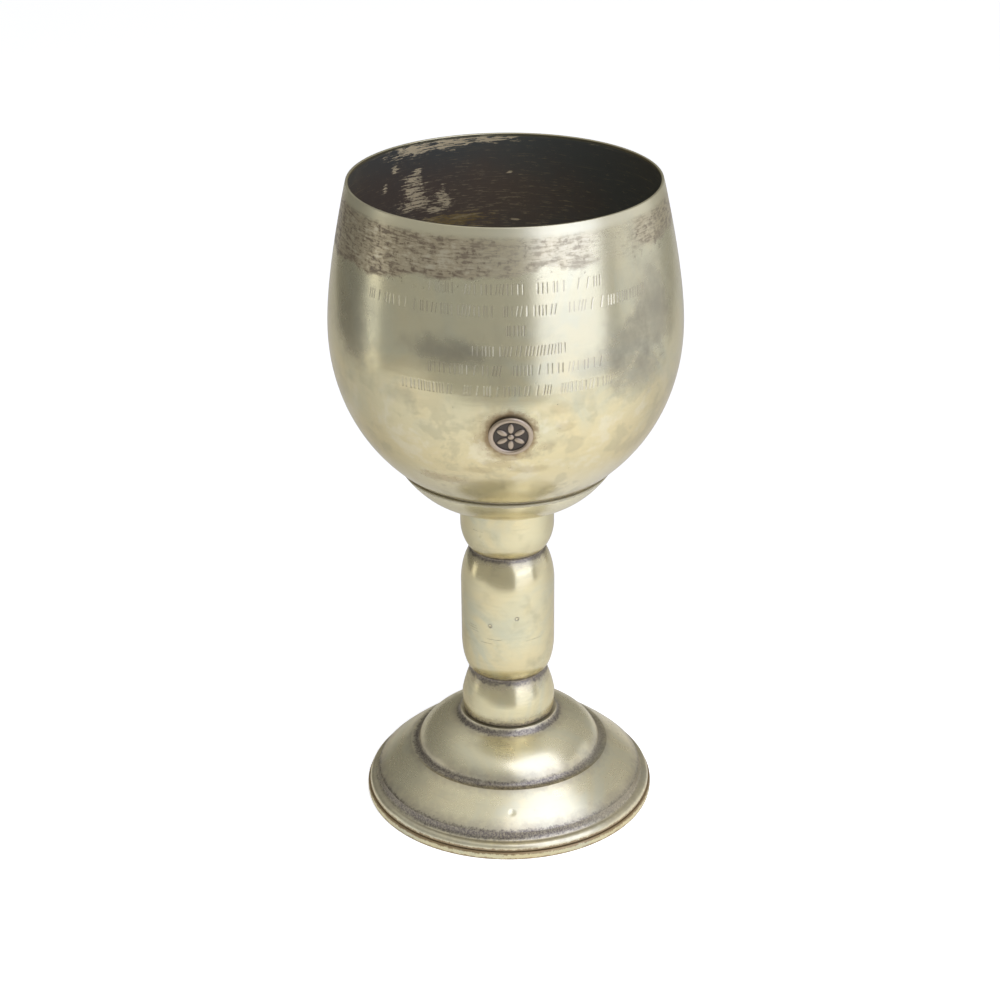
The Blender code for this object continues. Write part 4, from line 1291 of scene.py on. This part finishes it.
def keep(piece, node, slot, *materials):
    """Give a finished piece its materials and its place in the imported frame."""
    for material in materials:
        piece.data.materials.append(material)
    smooth(piece)
    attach(piece, "root")
    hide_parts(node)


def aim(light, place, target):
    """Turn a light that stands at a place towards its target."""
    light.rotation_euler = (Vector(target) - Vector(place)).to_track_quat("-Z", "Y").to_euler()


class CUP_OT_add_bowl(bpy.types.Operator):
    """Spin the bowl, engrave its rows of marks and lay on its tarnish"""
    bl_idname = "cup.add_bowl"
    bl_label = "Add Bowl"
    bl_options = {"REGISTER", "UNDO"}

    def execute(self, context):
        bowl, cut = context.scene.cup_bowl, context.scene.cup_engraving
        piece = turned("cup_bowl", bowl_outline(bowl, cut), bowl.base, bowl.steps)
        engrave(piece, bowl, cut)
        colours = context.scene.cup_colours
        keep(piece, "bowl", "bowl_silver", bowl_outside(bowl, context.scene.cup_badge, colours),
             bowl_inside(bowl, colours))
        centres = face_centres(piece)
        levels = np.clip(centres[:, 2] - bowl.base, 0.0, bowl.height)
        outer_radii = np.array([bowl_radius(bowl, level) for level in levels])
        within = np.hypot(centres[:, 0], centres[:, 1]) < outer_radii - bowl.wall / 2
        normals = np.empty(len(centres) * 3)
        piece.data.polygons.foreach_get("normal", normals)
        inwards = np.einsum("ij,ij->i", normals.reshape(-1, 3)[:, :2], centres[:, :2]) < 0
        floor = (normals.reshape(-1, 3)[:, 2] > 0) & (levels < bowl.belly_height)
        piece.data.polygons.foreach_set("material_index", (within & (inwards | floor)).astype(np.int32))
        return {"FINISHED"}


class CUP_OT_add_dish(bpy.types.Operator):
    """Spin the shallow dish that the bowl sits in"""
    bl_idname = "cup.add_dish"
    bl_label = "Add Dish"
    bl_options = {"REGISTER", "UNDO"}

    def execute(self, context):
        dish, stem = context.scene.cup_dish, context.scene.cup_stem
        bowl = context.scene.cup_bowl
        seat_radius = bowl_radius(bowl, dish.base + dish.height - bowl.base)
        outline = dish_outline(dish, stem.upper_knop_radius, seat_radius)
        piece = turned("cup_calyx_dish", outline, dish.base, dish.steps)
        keep(piece, "calyx_dish", "stem_silver", dish_silver(dish, stem, context.scene.cup_colours))
        return {"FINISHED"}


class CUP_OT_add_stem(bpy.types.Operator):
    """Spin the barrel of the stem and the two knops above and below it"""
    bl_idname = "cup.add_stem"
    bl_label = "Add Stem"
    bl_options = {"REGISTER", "UNDO"}

    def execute(self, context):
        stem = context.scene.cup_stem
        gap = (BARREL_LOW.z - LOWER_KNOP_HIGH.z) / 2
        finish = stem_silver(stem, context.scene.cup_colours)
        outlines = {
            "upper_knop": upper_knop_outline(stem, gap),
            "stem_barrel": barrel_outline(stem, gap),
            "lower_knop": lower_knop_outline(stem, gap),
        }
        for node, outline in outlines.items():
            piece = turned("cup_" + node, outline, 0.0, stem.steps)
            for dent in DENTS.get(node, ()):
                press(piece, dent)
            keep(piece, node, "stem_silver", finish)
        return {"FINISHED"}


class CUP_OT_add_foot(bpy.types.Operator):
    """Spin the two-step domed foot and the ring that it rests on"""
    bl_idname = "cup.add_foot"
    bl_label = "Add Foot"
    bl_options = {"REGISTER", "UNDO"}

    def execute(self, context):
        foot, stem, ring = context.scene.cup_foot, context.scene.cup_stem, context.scene.cup_ring
        piece = turned("cup_foot", foot_outline(foot, stem), foot.base, foot.steps)
        for dent in DENTS["foot"]:
            press(piece, dent)
        keep(piece, "foot", "foot_silver", foot_silver(foot, stem, context.scene.cup_colours))
        piece = turned("cup_base_ring", ring_outline(ring), 0.0, ring.steps)
        keep(piece, "base_ring", "foot_silver", ring_silver(foot, ring, context.scene.cup_colours))
        return {"FINISHED"}


class CUP_OT_add_badge(bpy.types.Operator):
    """Model the round badge with its rosette and lay it on the front of the bowl"""
    bl_idname = "cup.add_badge"
    bl_label = "Add Badge"
    bl_options = {"REGISTER", "UNDO"}

    def execute(self, context):
        badge, bowl = context.scene.cup_badge, context.scene.cup_bowl
        piece = turned("cup_badge", badge_outline(badge), 0.0, badge.steps)
        petals = []
        for number in range(badge.petals + 1):
            bpy.ops.object.select_all(action="DESELECT")
            bpy.ops.mesh.primitive_uv_sphere_add(segments=40, ring_count=24, radius=1.0)
            petal = bpy.context.active_object
            edit(petal)
            bpy.ops.mesh.select_all(action="SELECT")
            if number == badge.petals:
                boss_size = (badge.boss_radius, badge.boss_radius, badge.petal_height * 1.25)
                bpy.ops.transform.resize(value=boss_size)
                bpy.ops.transform.translate(value=(0.0, 0.0, badge.plate))
            else:
                petal_size = (badge.petal_width / 2, badge.petal_length / 2, badge.petal_height)
                bpy.ops.transform.resize(value=petal_size)
                bpy.ops.transform.translate(value=(0.0, badge.petal_reach, badge.plate))
                bpy.ops.transform.rotate(value=2 * math.pi * number / badge.petals, orient_axis="Z",
                                         center_override=(0.0, 0.0, 0.0))
            done()
            petals.append(petal)
        for petal in petals:
            union = piece.modifiers.new("petal", "BOOLEAN")
            union.operation = "UNION"
            union.object = petal
            bpy.context.view_layer.objects.active = piece
            bpy.ops.object.modifier_apply(modifier=union.name)
            bpy.data.objects.remove(petal)
        heights = places(piece)[:, 2]
        relief = piece.data.attributes.new("relief", "FLOAT", "POINT")
        relief.data.foreach_set("value", np.clip((heights - badge.plate) / badge.petal_height, 0.0, 1.0))
        wrap_on_bowl(piece, bowl, badge)
        keep(piece, "badge", "badge_silver", badge_silver(context.scene.cup_colours))
        return {"FINISHED"}


class CUP_OT_set_stage(bpy.types.Operator):
    """Lay the pale floor, hang the soft lights and stand the camera"""
    bl_idname = "cup.set_stage"
    bl_label = "Set Stage"
    bl_options = {"REGISTER", "UNDO"}

    def execute(self, context):
        studio = context.scene.cup_studio
        bpy.ops.object.select_all(action="DESELECT")
        bpy.ops.mesh.primitive_plane_add(size=1.0)
        floor = bpy.context.active_object
        floor.name = "studio_floor"
        edit(floor)
        bpy.ops.mesh.select_all(action="SELECT")
        bpy.ops.transform.resize(value=(studio.sheet_width, studio.sheet_front + studio.sheet_back, 1.0))
        bpy.ops.transform.translate(value=(0.0, (studio.sheet_back - studio.sheet_front) / 2, 0.0))
        done()
        material = bpy.data.materials.new("floor_paper")
        material.use_nodes = True
        shader = material.node_tree.nodes["Principled BSDF"]
        shader.inputs["Base Color"].default_value = (0.84, 0.84, 0.84, 1.0)
        shader.inputs["Roughness"].default_value = 0.9
        shader.inputs["Specular IOR Level"].default_value = 0.1
        shader.inputs["Emission Strength"].default_value = 1.0
        net = Net(material.node_tree)
        seen = net.node("ShaderNodeLightPath").outputs["Is Camera Ray"]
        on_sheet = net.node("ShaderNodeTexCoord").outputs["Object"]
        across = net.vector("DOT_PRODUCT", on_sheet, (0.15, -0.99, 0.0))
        near = net.between(across, -0.12, 0.12, 0.0, studio.sheet_glow)
        glow = net.math("MULTIPLY_ADD", seen, studio.sheet_bleach, near)
        material.node_tree.links.new(glow, shader.inputs["Emission Color"])
        floor.data.materials.append(material)

        world = bpy.data.worlds.new("studio_room")
        world.use_nodes = True
        net = Net(world.node_tree)
        direction = net.node("ShaderNodeTexCoord").outputs["Generated"]
        upwards = net.vector("DOT_PRODUCT", direction, (0.0, 0.0, 1.0))
        forwards = net.vector("DOT_PRODUCT", direction, (0.5, -0.87, 0.0))
        low = net.between(forwards, -1.0, -0.2, studio.room_back, studio.room)
        light = net.between(upwards, 0.5, 1.05, low, studio.ceiling)
        light = net.math("MAXIMUM", light, net.node("ShaderNodeLightPath").outputs["Is Camera Ray"])
        world.node_tree.links.new(light, world.node_tree.nodes["Background"].inputs["Strength"])
        world.node_tree.nodes["Background"].inputs["Color"].default_value = (1.0, 1.0, 1.0, 1.0)
        context.scene.world = world

        for soft in SOFT_LIGHTS:
            bpy.ops.object.light_add(type="AREA", location=soft.place)
            light = bpy.context.active_object
            light.name = soft.name
            light.data.shape = "RECTANGLE"
            light.data.size, light.data.size_y = soft.size
            light.data.energy = getattr(studio, soft.power)
            light.data.color = soft.tint
            light.visible_camera = False
            aim(light, soft.place, LIGHT_TARGET)
        bpy.ops.object.light_add(type="SPOT", location=SHEET_LAMP)
        lamp = bpy.context.active_object
        lamp.name = "sheet_light"
        lamp.data.energy = studio.pool
        lamp.data.spot_size, lamp.data.spot_blend = SHEET_LAMP_ANGLE, 1.0
        lamp.data.shadow_soft_size = 0.08
        lamp.visible_camera = lamp.visible_glossy = False
        aim(lamp, SHEET_LAMP, SHEET_LAMP_TARGET)

        bpy.ops.object.camera_add()
        camera = bpy.context.active_object
        camera.name = "camera"
        camera.data.lens = studio.focal_length
        camera.data.sensor_width = 36.0
        camera.data.clip_start, camera.data.clip_end = 0.01, 50.0
        swing = Matrix.Rotation(studio.azimuth, 4, "Z")
        place = Matrix.Translation((studio.aside, -studio.distance, studio.height))
        tip = Matrix.Rotation(math.pi / 2 - studio.pitch, 4, "X")
        camera.matrix_world = swing @ place @ tip @ Matrix.Rotation(studio.roll, 4, "Z")
        context.scene.camera = camera
        context.scene.view_settings.view_transform = "Standard"
        return {"FINISHED"}


class CUP_PT_panel(bpy.types.Panel):
    """The cup's steps in the 3D view's sidebar"""
    bl_idname = "CUP_PT_panel"
    bl_label = "Commemorative Cup"
    bl_space_type = "VIEW_3D"
    bl_region_type = "UI"
    bl_category = "Cup"

    def draw(self, context):
        layout = self.layout
        for operator in OPERATORS:
            layout.operator(operator.bl_idname)
        for name, kind in SETTINGS.items():
            box = layout.box()
            box.label(text=name.replace("_", " ").title())
            for key in kind.__annotations__:
                box.prop(getattr(context.scene, name), key)


OPERATORS = (CUP_OT_add_bowl, CUP_OT_add_dish, CUP_OT_add_stem, CUP_OT_add_foot, CUP_OT_add_badge,
             CUP_OT_set_stage)
CLASSES = (*SETTINGS.values(), *OPERATORS, CUP_PT_panel)


def register():
    for kind in CLASSES:
        bpy.utils.register_class(kind)
    for name, kind in SETTINGS.items():
        setattr(bpy.types.Scene, name, PointerProperty(type=kind))


def unregister():
    for name in SETTINGS:
        delattr(bpy.types.Scene, name)
    for kind in reversed(CLASSES):
        bpy.utils.unregister_class(kind)


def main():
    register()
    bpy.ops.cup.add_bowl()
    bpy.ops.cup.add_dish()
    bpy.ops.cup.add_stem()
    bpy.ops.cup.add_foot()
    bpy.ops.cup.add_badge()
    bpy.ops.cup.set_stage()


if __name__ == "__main__":
    main()
